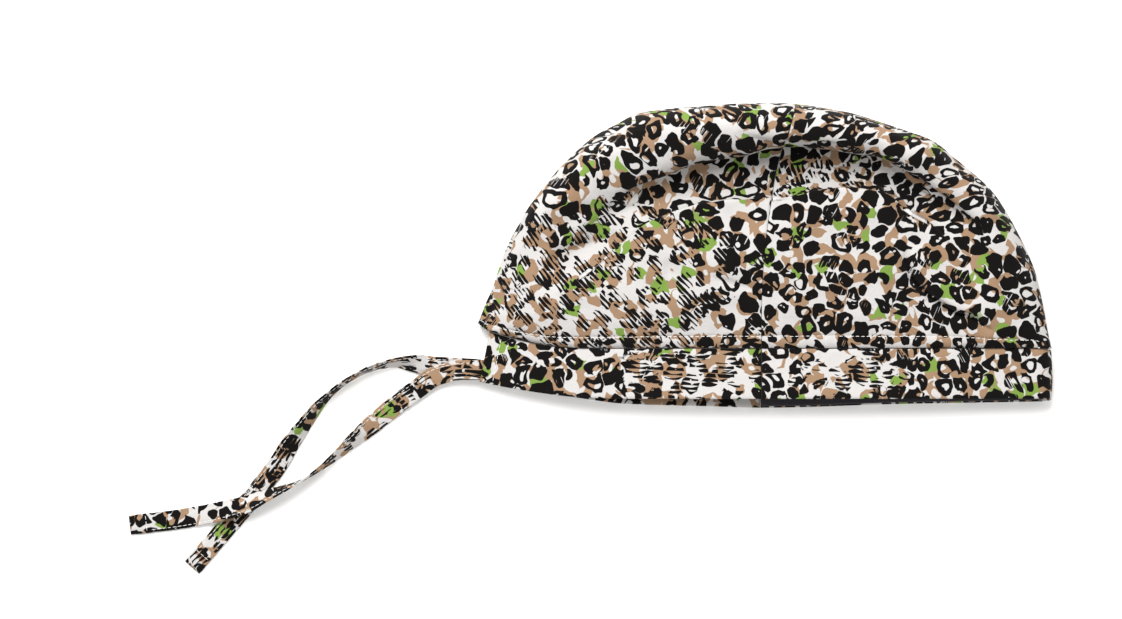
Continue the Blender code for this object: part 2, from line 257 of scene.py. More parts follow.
def run_lengths(points: np.ndarray) -> np.ndarray:
    """Gives the length reached at each point of one or more lines.

    Args:
        points: Lines along the last but one axis, coordinates along the last.

    Returns:
        The lengths from each line's first point.
    """
    steps = np.linalg.norm(np.diff(points, axis=-2), axis=-1)
    start = np.zeros(steps.shape[:-1] + (1,))
    return np.concatenate([start, np.cumsum(steps, axis=-1)], axis=-1)


def read_line(lengths: np.ndarray, line: np.ndarray, at: np.ndarray) -> np.ndarray:
    """Reads a line at lengths along it.

    Args:
        lengths: The length reached at each point.
        line: The points, one row each.
        at: The lengths to read at.

    Returns:
        One row for each length in at.
    """
    return np.stack([np.interp(at, lengths, line[:, i]) for i in range(line.shape[1])], axis=-1)


def bent(t: np.ndarray, a: np.ndarray, b: np.ndarray, c: np.ndarray, d: np.ndarray) -> np.ndarray:
    """Gives values on a smooth bend from a to d, which b and c pull it towards.

    Args:
        t: Shares of the way from a to d.
        a: Value at the start.
        b: Value that the start heads for.
        c: Value that the end comes from.
        d: Value at the end.

    Returns:
        The values at the shares.
    """
    s = 1 - t
    return s ** 3 * a + 3 * s ** 2 * t * b + 3 * s * t ** 2 * c + t ** 3 * d


def unit(vectors: np.ndarray) -> np.ndarray:
    """Gives vectors of length one."""
    return vectors / np.maximum(np.linalg.norm(vectors, axis=-1, keepdims=True), 1e-12)


def grid_normals(points: np.ndarray) -> np.ndarray:
    """Gives the outward direction at each point of a grid of columns and rows."""
    return unit(np.cross(np.gradient(points, axis=0), np.gradient(points, axis=1)))


class SmoothNoise:
    """Seeded smooth unevenness in plan, as a sum of waves; its values are about -1 to 1."""

    def __init__(
        self, seed: int, wavelength: float, stretch: float = 1.0, turn: float = 0.0
    ) -> None:
        """Draws the waves.

        Args:
            seed: Gives the same waves each run.
            wavelength: Usual distance between crests in mm.
            stretch: How much longer the crests are along the turned axis.
            turn: Direction of the long axis in degrees.
        """
        draw = np.random.default_rng(seed)
        angles = draw.uniform(0, 2 * math.pi, 28)
        sizes = 2 * math.pi / wavelength * draw.uniform(0.6, 1.35, 28)
        self.along = sizes * np.cos(angles) / stretch
        self.over = sizes * np.sin(angles)
        self.phases = draw.uniform(0, 2 * math.pi, 28)
        self.turn = math.radians(turn)

    def at(self, x: np.ndarray, y: np.ndarray) -> np.ndarray:
        """Gives the unevenness at plan places in mm."""
        u = x * math.cos(self.turn) + y * math.sin(self.turn)
        v = y * math.cos(self.turn) - x * math.sin(self.turn)
        total = np.zeros(np.broadcast(u, v).shape)
        for along, over, phase in zip(self.along, self.over, self.phases):
            total += np.sin(along * u + over * v + phase)
        return total / math.sqrt(2 * len(self.phases))


def distance_to_line(x: np.ndarray, y: np.ndarray, line: np.ndarray) -> tuple:
    """Measures how far plan places are from a line of points.

    Args:
        x: Places in mm.
        y: Places in mm.
        line: Plan points, one row each.

    Returns:
        The distances, above zero to the left of the line, and the share of the line's length at
        each nearest point.
    """
    lengths = run_lengths(line)
    best = np.full(np.shape(x), 1e9)
    side = np.ones(np.shape(x))
    share = np.zeros(np.shape(x))
    for i in range(len(line) - 1):
        run = line[i + 1] - line[i]
        size = max(float(run @ run), 1e-9)
        t = np.clip(((x - line[i, 0]) * run[0] + (y - line[i, 1]) * run[1]) / size, 0, 1)
        gap = np.hypot(x - line[i, 0] - t * run[0], y - line[i, 1] - t * run[1])
        nearer = gap < best
        best = np.where(nearer, gap, best)
        turned = run[0] * (y - line[i, 1]) - run[1] * (x - line[i, 0])
        side = np.where(nearer, np.where(turned >= 0, 1.0, -1.0), side)
        reached = (lengths[i] + t * math.sqrt(size)) / lengths[-1]
        share = np.where(nearer, reached, share)
    return best * side, share


def cloth_object(
    name: str, points: np.ndarray, flat: np.ndarray, looks: list, closed: bool = False
) -> bpy.types.Object:
    """Makes a cloth mesh from a grid of columns and rows.

    Args:
        name: Name of the object.
        points: Grid of points in mm.
        flat: Flat-cloth coordinates in mm; a closed grid has one more row of them.
        looks: Materials, outer face first.
        closed: Whether the last row joins the first, as in a tube.

    Returns:
        The object, linked to the scene.
    """
    columns, rows = points.shape[:2]
    index = np.arange(columns * rows).reshape(columns, rows)
    place = np.arange(flat.shape[0] * flat.shape[1]).reshape(flat.shape[:2])
    if closed:
        index = np.concatenate([index, index[:, :1]], axis=1)
    corners = []
    for grid in (index, place):
        quads = (grid[:-1, :-1], grid[1:, :-1], grid[1:, 1:], grid[:-1, 1:])
        corners.append(np.stack(quads, axis=-1).reshape(-1, 4))
    data = bpy.data.meshes.new(name)
    data.from_pydata((points.reshape(-1, 3) * MM).tolist(), [], corners[0].tolist())
    layer = data.uv_layers.new(name="flat_cloth")
    spots = flat.reshape(-1, 2)[corners[1].reshape(-1)] / PRINT_UNIT
    layer.data.foreach_set("uv", spots.astype(np.float32).reshape(-1))
    data.polygons.foreach_set("use_smooth", np.ones(len(data.polygons), bool))
    for look in looks:
        data.materials.append(look)
    if closed:
        weld(data)
    data.update()
    made = bpy.data.objects.new(name, data)
    bpy.context.scene.collection.objects.link(made)
    return made


def weld(data: bpy.types.Mesh) -> None:
    """Joins points that meet where a tube's ends are pinched shut."""
    mesh = bmesh.new()
    mesh.from_mesh(data)
    bmesh.ops.remove_doubles(mesh, verts=mesh.verts, dist=2e-6)
    mesh.to_mesh(data)
    mesh.free()


def report_piece(piece: bpy.types.Object) -> None:
    """Logs a finished piece with its faces."""
    LOG.info("made %s with %d faces", piece.name, len(piece.data.polygons))


# Finishes

# A wave texture's bands are 2 pi / 20 units apart at scale 1
WAVE_PITCH = 0.314
# Half width in mm of the slightly soft edge that ink has on cloth
INK_EDGE = 0.1
# Half width of a threshold on a cell's own luck, so small that no cell is inked by half
LUCK_EDGE = 0.0002


def linear_colour(code: str) -> tuple:
    """Turns an sRGB hex colour such as 8DBE4C into a linear one with alpha.

    Args:
        code: Six hex digits.

    Returns:
        Red, green, blue and alpha.
    """
    parts = [int(code[i : i + 2], 16) / 255 for i in (0, 2, 4)]
    linear = [p / 12.92 if p <= 0.04045 else ((p + 0.055) / 1.055) ** 2.4 for p in parts]
    return (*linear, 1.0)


def add_node(
    tree: Tree,
    kind: str,
    props: dict | None = None,
    values: dict | None = None,
    links: dict | None = None,
) -> bpy.types.Node:
    """Adds a node with its settings and links.

    Args:
        tree: The material's node tree.
        kind: The node's type, without its ShaderNode prefix.
        props: Properties of the node itself.
        values: Values of its input sockets, by name or number.
        links: Output sockets that its input sockets take, by name or number.

    Returns:
        The node.
    """
    node = tree.nodes.new("ShaderNode" + kind)
    for name, value in (props or {}).items():
        setattr(node, name, value)
    for name, value in (values or {}).items():
        node.inputs[name].default_value = value
    for name, socket in (links or {}).items():
        tree.links.new(socket, node.inputs[name])
    return node


def new_look(name: str, values: dict) -> tuple:
    """Starts a material.

    Args:
        name: Its name.
        values: Values of its shader's input sockets, by name.

    Returns:
        The material, its node tree and its shader node.
    """
    look = bpy.data.materials.new(name)
    look.use_nodes = True
    shader = look.node_tree.nodes["Principled BSDF"]
    for socket, value in values.items():
        shader.inputs[socket].default_value = value
    return look, look.node_tree, shader


def calc(
    tree: Tree,
    operation: str,
    values: dict | None = None,
    links: dict | None = None,
    clamp: bool = False,
) -> Socket:
    """Works out a number from others.

    Args:
        tree: The node tree.
        operation: What is worked out, such as MULTIPLY.
        values: Fixed numbers, by socket number.
        links: Sockets that give the other numbers, by socket number.
        clamp: Whether the result is kept between 0 and 1.

    Returns:
        The result.
    """
    props = {"operation": operation, "use_clamp": clamp}
    return add_node(tree, "Math", props, values, links).outputs[0]


def mixed(tree: Tree, values: dict, links: dict) -> Socket:
    """Mixes the colours A and B by a factor."""
    return add_node(tree, "Mix", {"data_type": "RGBA"}, values, links).outputs["Result"]


def shifted(tree: Tree, at: Socket, by: tuple[float, float]) -> Socket:
    """Moves a place by a fixed step in mm."""
    step = {1: (*by, 0.0)}
    return add_node(tree, "VectorMath", {"operation": "ADD"}, step, {0: at}).outputs["Vector"]


def measured(
    tree: Tree,
    at: Socket,
    units: tuple[float, float] = (1.0, 1.0),
    turn: float = 0.0,
    start: tuple[float, float] = (0.0, 0.0),
) -> Socket:
    """Measures a place again, along other axes and in other units.

    Args:
        tree: The node tree.
        at: The place.
        units: Length of the new unit along each new axis.
        turn: How far the new axes are turned, in degrees.
        start: Where the new axes start.

    Returns:
        The place along the new axes.
    """
    values = {
        "Location": (*start, 0.0),
        "Rotation": (0.0, 0.0, math.radians(turn)),
        "Scale": (*units, 1.0),
    }
    props = {"vector_type": "TEXTURE"}
    return add_node(tree, "Mapping", props, values, {"Vector": at}).outputs["Vector"]


def flat_place(tree: Tree, shift: tuple[float, float] = (0.0, 0.0)) -> Socket:
    """Gives the flat-cloth place in mm, shifted to where the piece is cut from the cloth."""
    spot = add_node(tree, "UVMap", {"uv_map": "flat_cloth"})
    values = {"Location": (*shift, 0.0), "Scale": (PRINT_UNIT, PRINT_UNIT, PRINT_UNIT)}
    links = {"Vector": spot.outputs["UV"]}
    return add_node(tree, "Mapping", values=values, links=links).outputs["Vector"]


def noise(
    tree: Tree, at: Socket, spacing: float, detail: float = 0.0, values: dict | None = None
) -> bpy.types.Node:
    """Adds smooth flat noise.

    Args:
        tree: The node tree.
        at: The place.
        spacing: Usual distance between its crests, in the place's unit.
        detail: How many finer layers lie on it.
        values: Values of its other input sockets, by name.

    Returns:
        The node.
    """
    sizes = {"Scale": 1 / spacing, "Detail": detail, **(values or {})}
    return add_node(tree, "TexNoise", {"noise_dimensions": "2D"}, sizes, {"Vector": at})


def cells(
    tree: Tree, at: Socket, spacing: float, spread: float, feature: str = "F1"
) -> bpy.types.Node:
    """Splits the cloth into cells, each with a heart.

    Args:
        tree: The node tree.
        at: The place in mm.
        spacing: Usual distance between the hearts in mm.
        spread: How far the hearts stray from an even grid, from 0 to 1.
        feature: F1 gives what belongs to the heart, DISTANCE_TO_EDGE how far the cell's edge is.

    Returns:
        The node.
    """
    props = {"voronoi_dimensions": "2D", "feature": feature}
    sizes = {"Scale": 1 / spacing, "Randomness": spread}
    return add_node(tree, "TexVoronoi", props, sizes, {"Vector": at})


def ribs(tree: Tree, at: Socket, pitch: float, values: dict | None = None) -> Socket:
    """Gives the height of even ribs across the place's first axis.

    Args:
        tree: The node tree.
        at: The place in mm.
        pitch: Distance between two ribs in mm.
        values: Values of the other input sockets, by name.

    Returns:
        The height, from 0 to 1.
    """
    props = {"wave_type": "BANDS", "bands_direction": "X", "wave_profile": "SIN"}
    sizes = {"Scale": WAVE_PITCH / pitch, **(values or {})}
    return add_node(tree, "TexWave", props, sizes, {"Vector": at}).outputs["Fac"]


def raised(
    tree: Tree, height: Socket, strength: float, reach: float, over: Socket | None = None
) -> Socket:
    """Gives a surface its relief.

    Args:
        tree: The node tree.
        height: The height, from 0 to 1.
        strength: How much of the relief shows, from 0 to 1.
        reach: Height in mm of a place at 1.
        over: Coarser or finer relief that it is laid over, if any.

    Returns:
        The surface direction.
    """
    links = {"Height": height}
    if over is not None:
        links["Normal"] = over
    values = {"Strength": strength, "Distance": reach * MM}
    return add_node(tree, "Bump", values=values, links=links).outputs["Normal"]


def inked_where(tree: Tree, value: Socket, over: float, soft: float) -> Socket:
    """Turns a value into ink with a slightly soft edge.

    Args:
        tree: The node tree.
        value: Any value over the cloth.
        over: The ink starts above this value.
        soft: Half width of the edge, in the value's unit.

    Returns:
        1 where there is ink and 0 elsewhere.
    """
    props = {"interpolation_type": "SMOOTHSTEP"}
    limits = {"From Min": over - soft, "From Max": over + soft}
    return add_node(tree, "MapRange", props, limits, {"Value": value}).outputs["Result"]


class StreakLay(Enum):
    """Which way the dry-brush dashes of the print run, in degrees from the cloth's length."""

    DIAGONAL = -50.0
    STEEP = -68.0
    LEVEL = 3.0


class ClothFace(Enum):
    """Which face of the cloth is seen: how much of the ink shows on it."""

    RIGHT = 1.0
    REVERSE = 0.3


@dataclass(frozen=True)
class StreakZone:
    """Oval stretch of cloth where the black ink breaks into dashes.

    Attributes:
        centre: Its middle in flat-cloth mm.
        radii: Half its length and width in mm.
        lay: Which way the dashes run.
    """

    centre: tuple[float, float]
    radii: tuple[float, float]
    lay: StreakLay


@dataclass(frozen=True)
class LeopardPoplin:
    """Woven cotton poplin, screen printed with a loose leopard pattern.

    Poplin is a fine plain weave: it looks matt, slightly fuzzy and almost flat, and its ink sinks
    in, so the print has no gloss of its own and its edges are a little soft.

    Attributes:
        name: Name of the material.
        shift: Where on the cloth the piece is cut, in mm.
        zones: Where the black ink breaks into dashes.
        cell: Usual distance between the print's spots in mm.
        ground: Colour of the bleached cotton.
        shade: Colour of the cotton between its threads.
        reverse: Colour of the cotton's reverse side.
        black: Colour of the black ink.
        tan: Colour of the tan ink.
        green: Colour of the green ink.
        press: How far the uneven press of the screen moves the spots' edges, in mm.
        level: Press at which a spot fills its cell right up to the edge, from 0 to 1.
        ring: Width of a ring's band of ink in mm.
        hole_reach: How far a hole's middle sits off the spot's heart at most, in mm.
        dash: Distance between the middles of two dashes in mm.
        arc: Usual distance between the hearts of the tan arcs in mm.
        arc_radius: Radius of the tan arcs in mm.
        arc_width: Width of the tan arcs in mm.
    """

    name: str
    shift: tuple[float, float]
    zones: tuple[StreakZone, ...] = ()
    cell: float = 8.4
    ground: str = "BCB9B7"
    shade: str = "B3B0AD"
    reverse: str = "DCD8D5"
    black: str = "090706"
    tan: str = "8D725A"
    green: str = "6D873D"
    press: float = 3.2
    level: float = 0.61
    ring: float = 2.8
    hole_reach: float = 2.8
    dash: float = 2.3
    arc: float = 12.5
    arc_radius: float = 3.9
    arc_width: float = 4.4

    def make(self, face: ClothFace = ClothFace.RIGHT) -> bpy.types.Material:
        """Makes the material for one face of the cloth.

        Args:
            face: Which face is seen.

        Returns:
            The material.
        """
        look, tree, shader = new_look(
            f"{self.name}_{face.name.lower()}",
            {
                "Roughness": 0.88,
                "IOR": 1.47,
                "Specular IOR Level": 0.12,
                "Sheen Weight": 0.03,
                "Sheen Roughness": 0.5,
            },
        )
        place, cut = flat_place(tree, self.shift), flat_place(tree)
        black = self.spots(tree, self.wavy(tree, place))
        black = self.scratched(tree, place, black)
        for zone in self.zones:
            black = self.dashed(tree, place, cut, black, zone)
        tree.links.new(self.inked(tree, place, black, face), shader.inputs["Base Color"])
        tree.links.new(self.weave(tree, cut), shader.inputs["Normal"])
        return look

    def wavy(self, tree: Tree, place: Socket) -> Socket:
        """Bends the pattern's ground, so that spots are hand-drawn and not cut by straight lines.

        Args:
            tree: The node tree.
            place: Flat-cloth place in mm.

        Returns:
            The bent place in mm.
        """
        for spacing, reach in ((15.0, 6.5), (5.6, 3.4), (2.6, 0.5)):
            drift = noise(tree, place, spacing, 1.0, {"Roughness": 0.5})
            place = add_node(
                tree,
                "VectorMath",
                {"operation": "MULTIPLY_ADD"},
                {1: (reach, reach, 0.0)},
                {0: drift.outputs["Color"], 2: place},
            ).outputs["Vector"]
        return place

    def spots(self, tree: Tree, at: Socket) -> Socket:
        """Gives the black ink: rounded blobs and rings, some of them with a hole or a notch.

        Args:
            tree: The node tree.
            at: The bent place in mm.

        Returns:
            1 where the ink is black.
        """
        spread = 0.85
        to_edge = cells(tree, at, self.cell, spread, "DISTANCE_TO_EDGE").outputs["Distance"]
        heart = cells(tree, at, self.cell, spread)
        luck = add_node(tree, "SeparateColor", links={"Color": heart.outputs["Color"]})
        press = noise(tree, at, 7.5).outputs["Fac"]
        # Bare cloth between two spots is up to 2 mm wide, and now and then two spots run together
        depth = calc(tree, "MULTIPLY_ADD", {1: self.cell / self.press}, {0: to_edge, 2: press})
        # A spot reaches 0.34 to 0.7 of a cell from its heart, which rounds its corners
        size = calc(
            tree,
            "MULTIPLY_ADD",
            {1: 0.36 * self.cell, 2: 0.335 * self.cell},
            {0: luck.outputs["Red"]},
        )
        within = calc(
            tree, "MULTIPLY_ADD", {1: -self.cell}, {0: heart.outputs["Distance"], 2: size}
        )
        spots = self.filled(tree, depth, within, 0.0)
        # A hole up to 2.1 mm in radius sits off the heart, and at the spot's edge it is a notch
        hole_at = add_node(
            tree,
            "VectorMath",
            {"operation": "MULTIPLY_ADD"},
            {1: (2 * self.hole_reach, 2 * self.hole_reach, 0.0)},
            {0: heart.outputs["Color"], 2: heart.outputs["Position"]},
        ).outputs["Vector"]
        moved = shifted(tree, at, (self.hole_reach, self.hole_reach))
        away = add_node(
            tree, "VectorMath", {"operation": "DISTANCE"}, links={0: moved, 1: hole_at}
        ).outputs["Value"]
        radius = calc(tree, "MULTIPLY_ADD", {1: 3.4, 2: -1.3}, {0: luck.outputs["Blue"]})
        inner = calc(tree, "SUBTRACT", links={0: radius, 1: away})
        hole = inked_where(tree, inner, 0.0, INK_EDGE)
        # More than half of the spots are rings
        chosen = inked_where(tree, luck.outputs["Green"], 0.46, LUCK_EDGE)
        core = self.filled(tree, depth, within, self.ring)
        ring = calc(tree, "MULTIPLY", links={0: core, 1: chosen})
        bare = calc(tree, "MAXIMUM", links={0: hole, 1: ring})
        return calc(tree, "SUBTRACT", links={0: spots, 1: bare}, clamp=True)

    def filled(self, tree: Tree, depth: Socket, within: Socket, inset: float) -> Socket:
        """Gives the inside of the spots.

        Args:
            tree: The node tree.
            depth: How deep in its cell a place lies, in widths of the press, with the press added.
            within: Distance inside the round that holds the spot, in mm.
            inset: How far inside the spots' outlines it stays, in mm.

        Returns:
            1 inside and 0 elsewhere.
        """
        apart = inked_where(tree, depth, self.level + inset / self.press, 0.03)
        rounded = inked_where(tree, within, inset, INK_EDGE)
        return calc(tree, "MULTIPLY", links={0: apart, 1: rounded})

    def scratched(self, tree: Tree, place: Socket, ink: Socket) -> Socket:
        """Draws thin bare lines through some of the black, where the brush ran dry.

        Args:
            tree: The node tree.
            place: Flat-cloth place in mm.
            ink: The black ink.

        Returns:
            The black ink with the lines taken out.
        """
        # The lines are about 15 mm long and half a millimetre wide
        lines = measured(tree, place, (15.0, 0.55), 62.0)
        dry = noise(tree, lines, 1.0).outputs["Fac"]
        area = noise(tree, place, 16.0).outputs["Fac"]
        scratches = calc(
            tree,
            "MULTIPLY",
            links={
                0: inked_where(tree, dry, 0.71, 0.03),
                1: inked_where(tree, area, 0.74, 0.02),
            },
        )
        return calc(tree, "SUBTRACT", links={0: ink, 1: scratches}, clamp=True)

    def dashed(
        self, tree: Tree, place: Socket, cut: Socket, ink: Socket, zone: StreakZone
    ) -> Socket:
        """Breaks the spots into parallel dashes with ragged ends inside a zone.

        Args:
            tree: The node tree.
            place: Flat-cloth place in mm, shifted to the piece's cut.
            cut: Flat-cloth place in mm, from the piece's own origin.
            ink: The black ink.
            zone: Where the dashes are.

        Returns:
            The black ink with the dashes.
        """
        lay = measured(tree, place, (1.0, self.dash), zone.lay.value)
        parts = add_node(tree, "SeparateXYZ", links={"Vector": lay})
        waver = noise(tree, place, 7.0).outputs["Fac"]
        lane = calc(tree, "MULTIPLY_ADD", {1: 0.5}, {0: waver, 2: parts.outputs["Y"]})
        number = calc(tree, "FLOOR", links={0: lane})
        luck = add_node(tree, "TexWhiteNoise", {"noise_dimensions": "1D"}, links={"W": number})
        # Each lane slides by up to 3.4 mm, which gives the dashes their ragged ends
        slide = calc(
            tree,
            "MULTIPLY_ADD",
            {1: 3.4},
            {0: luck.outputs["Value"], 2: parts.outputs["X"]},
        )
        moved = add_node(tree, "CombineXYZ", links={"X": slide, "Y": parts.outputs["Y"]})
        turn = (0.0, 0.0, math.radians(zone.lay.value))
        back = add_node(
            tree,
            "Mapping",
            {"vector_type": "POINT"},
            {"Rotation": turn, "Scale": (1.0, self.dash, 1.0)},
            {"Vector": moved.outputs["Vector"]},
        ).outputs["Vector"]
        # Dashes are 1.1 to 2.1 mm wide
        within = calc(tree, "FRACT", links={0: lane})
        middle = calc(tree, "PINGPONG", {1: 0.5}, {0: within})
        width = calc(tree, "MULTIPLY_ADD", {1: 0.75}, {0: waver, 2: middle})
        bars = inked_where(tree, width, 0.52, 0.04)
        dashes = calc(
            tree, "MULTIPLY", links={0: bars, 1: self.spots(tree, self.wavy(tree, back))}
        )
        # The zone's own edge is ragged too
        oval = measured(tree, cut, zone.radii, start=zone.centre)
        reach = add_node(tree, "VectorMath", {"operation": "LENGTH"}, links={0: oval})
        ragged = noise(tree, place, 12.0, 1.0).outputs["Fac"]
        edge = calc(tree, "MULTIPLY_ADD", {1: 2.0}, {0: ragged, 2: reach.outputs["Value"]})
        outside = inked_where(tree, edge, 1.95, 0.03)
        return add_node(
            tree,
            "Mix",
            {"data_type": "FLOAT"},
            links={"Factor": outside, "A": dashes, "B": ink},
        ).outputs["Result"]

    def tan_ink(self, tree: Tree, place: Socket) -> Socket:
        """Gives the tan ink: thick broken arcs that lie under and beside the black.

        Args:
            tree: The node tree.
            place: Flat-cloth place in mm.

        Returns:
            1 where the ink is tan.
        """
        at = self.wavy(tree, shifted(tree, place, (31.0, 17.0)))
        heart = cells(tree, at, self.arc, 0.8).outputs["Distance"]
        off = calc(tree, "MULTIPLY_ADD", {1: self.arc, 2: -self.arc_radius}, {0: heart})
        apart = calc(tree, "ABSOLUTE", links={0: off})
        near = calc(tree, "SUBTRACT", {0: self.arc_width / 2}, {1: apart})
        breaks = noise(tree, at, 9.5).outputs["Fac"]
        return calc(
            tree,
            "MULTIPLY",
            links={
                0: inked_where(tree, near, 0.0, INK_EDGE),
                1: inked_where(tree, breaks, 0.45, 0.012),
            },
        )

    def green_ink(self, tree: Tree, place: Socket) -> Socket:
        """Gives the green ink: small angular patches, few and far between.

        Args:
            tree: The node tree.
            place: Flat-cloth place in mm.

        Returns:
            1 where the ink is green.
        """
        patch, spread = 6.4, 0.95
        at = self.wavy(tree, shifted(tree, place, (-44.0, 63.0)))
        to_edge = cells(tree, at, patch, spread, "DISTANCE_TO_EDGE").outputs["Distance"]
        heart = cells(tree, at, patch, spread).outputs["Color"]
        luck = add_node(tree, "SeparateColor", links={"Color": heart}).outputs["Green"]
        return calc(
            tree,
            "MULTIPLY",
            links={
                0: inked_where(tree, to_edge, 0.07, 0.015),
                1: inked_where(tree, luck, 0.925, LUCK_EDGE),
            },
        )

    def inked(self, tree: Tree, place: Socket, black: Socket, face: ClothFace) -> Socket:
        """Prints tan, green and black on the ground, one over another.

        Args:
            tree: The node tree.
            place: Flat-cloth place in mm.
            black: The black ink.
            face: Which face of the cloth is seen.

        Returns:
            The cloth's colour.
        """
        tone = noise(tree, place, 0.9, 2.0).outputs["Fac"]
        cotton = {"A": linear_colour(self.ground), "B": linear_colour(self.shade)}
        colour = mixed(tree, cotton, {"Factor": tone})
        for ink, where in (
            (self.tan, self.tan_ink(tree, place)),
            (self.green, self.green_ink(tree, place)),
            (self.black, black),
        ):
            colour = mixed(tree, {"B": linear_colour(ink)}, {"Factor": where, "A": colour})
        if face is ClothFace.RIGHT:
            return colour
        # The reverse of a print shows its ink only faintly through the weave
        faint = {"Factor": face.value, "A": linear_colour(self.reverse)}
        return mixed(tree, faint, {"B": colour})

    def weave(self, tree: Tree, cut: Socket) -> Socket:
        """Raises the plain weave and the cloth's small wrinkles.

        Poplin has about 40 threads to the centimetre, 0.25 mm each, which is under a pixel of the
        picture, so the weave is drawn at 0.5 mm to show in a close view.

        Args:
            tree: The node tree.
            cut: Flat-cloth place in mm.

        Returns:
            The surface direction.
        """
        warp, weft = (
            ribs(tree, measured(tree, cut, turn=turn), 0.5, {"Distortion": 0.6, "Detail": 1.0})
            for turn in (0.0, 90.0)
        )
        crossed = calc(tree, "MULTIPLY", links={0: warp, 1: weft})
        threads = raised(tree, crossed, 0.35, 0.12)
        wrinkles = noise(tree, cut, 5.0, 3.0, {"Roughness": 0.55, "Distortion": 0.4})
        return raised(tree, wrinkles.outputs["Fac"], 0.5, 0.6, threads)


@dataclass(frozen=True)
class KnitSweatband:
    """Dark jersey knit sweatband, brushed on its face.

    A knit of thick matt yarn soaks up light: it shows soft ribs of loops and a slight bloom of
    loose fibre at grazing angles, and no highlight.

    Attributes:
        name: Name of the material.
        yarn: Colour of the yarn.
        shade: Colour of the painted shade between the loops, which the lint also spreads unevenly.
        loop: Width of a loop in mm; a fine jersey has about 0.8 mm.
        lint: Number of specks of lint to the mm.
    """

    name: str = "knit_sweatband_jersey"
    yarn: str = "3B363C"
    shade: str = "201D22"
    loop: float = 0.8
    lint: float = 2.4

    def make(self) -> bpy.types.Material:
        """Makes the material."""
        look, tree, shader = new_look(
            self.name,
            {
                "Roughness": 0.95,
                "Specular IOR Level": 0.15,
                "Sheen Weight": 0.25,
                "Sheen Roughness": 0.6,
            },
        )
        place = flat_place(tree)
        uneven = {"Distortion": 1.2, "Detail": 1.0, "Detail Scale": 2.0}
        rows = ribs(tree, place, self.loop, uneven)
        lint = noise(tree, place, 1 / self.lint, 3.0).outputs["Fac"]
        loops = calc(tree, "MULTIPLY", links={0: rows, 1: lint})
        # Painted shade: the knit darkens between its loops, in step with their relief, and unevenly
        # with the lint
        yarn_and_loop_shade = {"A": linear_colour(self.shade), "B": linear_colour(self.yarn)}
        colour = mixed(tree, yarn_and_loop_shade, {"Factor": loops})
        tree.links.new(colour, shader.inputs["Base Color"])
        tree.links.new(raised(tree, loops, 0.6, 0.3), shader.inputs["Normal"])
        return look


@dataclass(frozen=True)
class SpunPolyesterThread:
    """Spun polyester sewing thread, two plies twisted together.

    Spun thread is nearly matt with a faint silky edge, and its twist shows as slanting ribs.

    Attributes:
        name: Name of the material.
        dye: Colour of the thread.
        shade: Colour of the painted shade between its plies.
        twist: Length of one turn of the twist in mm, drawn coarser than the real 0.5 mm.
        slant: How far the plies slant across the thread, in degrees.
    """

    name: str = "spun_polyester_thread"
    dye: str = "EFEDEA"
    shade: str = "CFCBC6"
    twist: float = 0.8
    slant: float = 35.0

    def make(self) -> bpy.types.Material:
        """Makes the material."""
        look, tree, shader = new_look(self.name, {"Roughness": 0.62, "Sheen Weight": 0.2})
        plies = ribs(tree, measured(tree, flat_place(tree), turn=self.slant), self.twist)
        # Painted shade: the thread darkens between its plies, in step with their relief
        dye_and_ply_shade = {"A": linear_colour(self.shade), "B": linear_colour(self.dye)}
        tree.links.new(mixed(tree, dye_and_ply_shade, {"Factor": plies}), shader.inputs["Base Color"])
        tree.links.new(raised(tree, plies, 0.4, 0.1), shader.inputs["Normal"])
        return look


@dataclass(frozen=True)
class MattPaper:
    """Seamless studio paper, uncoated: plain, pale and matt, with a barely seen tooth.

    Attributes:
        name: Name of the material.
        stock: Colour of the paper.
        painted_glow: Painted light that the paper gives off by itself, which keeps the shadows on
            it pale.
        tooth: Number of grains of its tooth to the metre.
    """

    name: str = "uncoated_studio_paper"
    stock: str = "F5F4F2"
    painted_glow: float = 0.11
    tooth: float = 900.0

    def make(self) -> bpy.types.Material:
        """Makes the material."""
        look, tree, shader = new_look(
            self.name,
            {
                "Base Color": linear_colour(self.stock),
                # The paper's own glow is painted light, which lifts the shadows on the floor
                "Emission Color": linear_colour(self.stock),
                "Emission Strength": self.painted_glow,
                "Roughness": 0.9,
                "Specular IOR Level": 0.1,
            },
        )
        place = add_node(tree, "TexCoord").outputs["Object"]
        tooth = noise(tree, place, 1 / self.tooth, 2.0).outputs["Fac"]
        tree.links.new(raised(tree, tooth, 0.08, 0.1), shader.inputs["Normal"])
        return look


# Studio


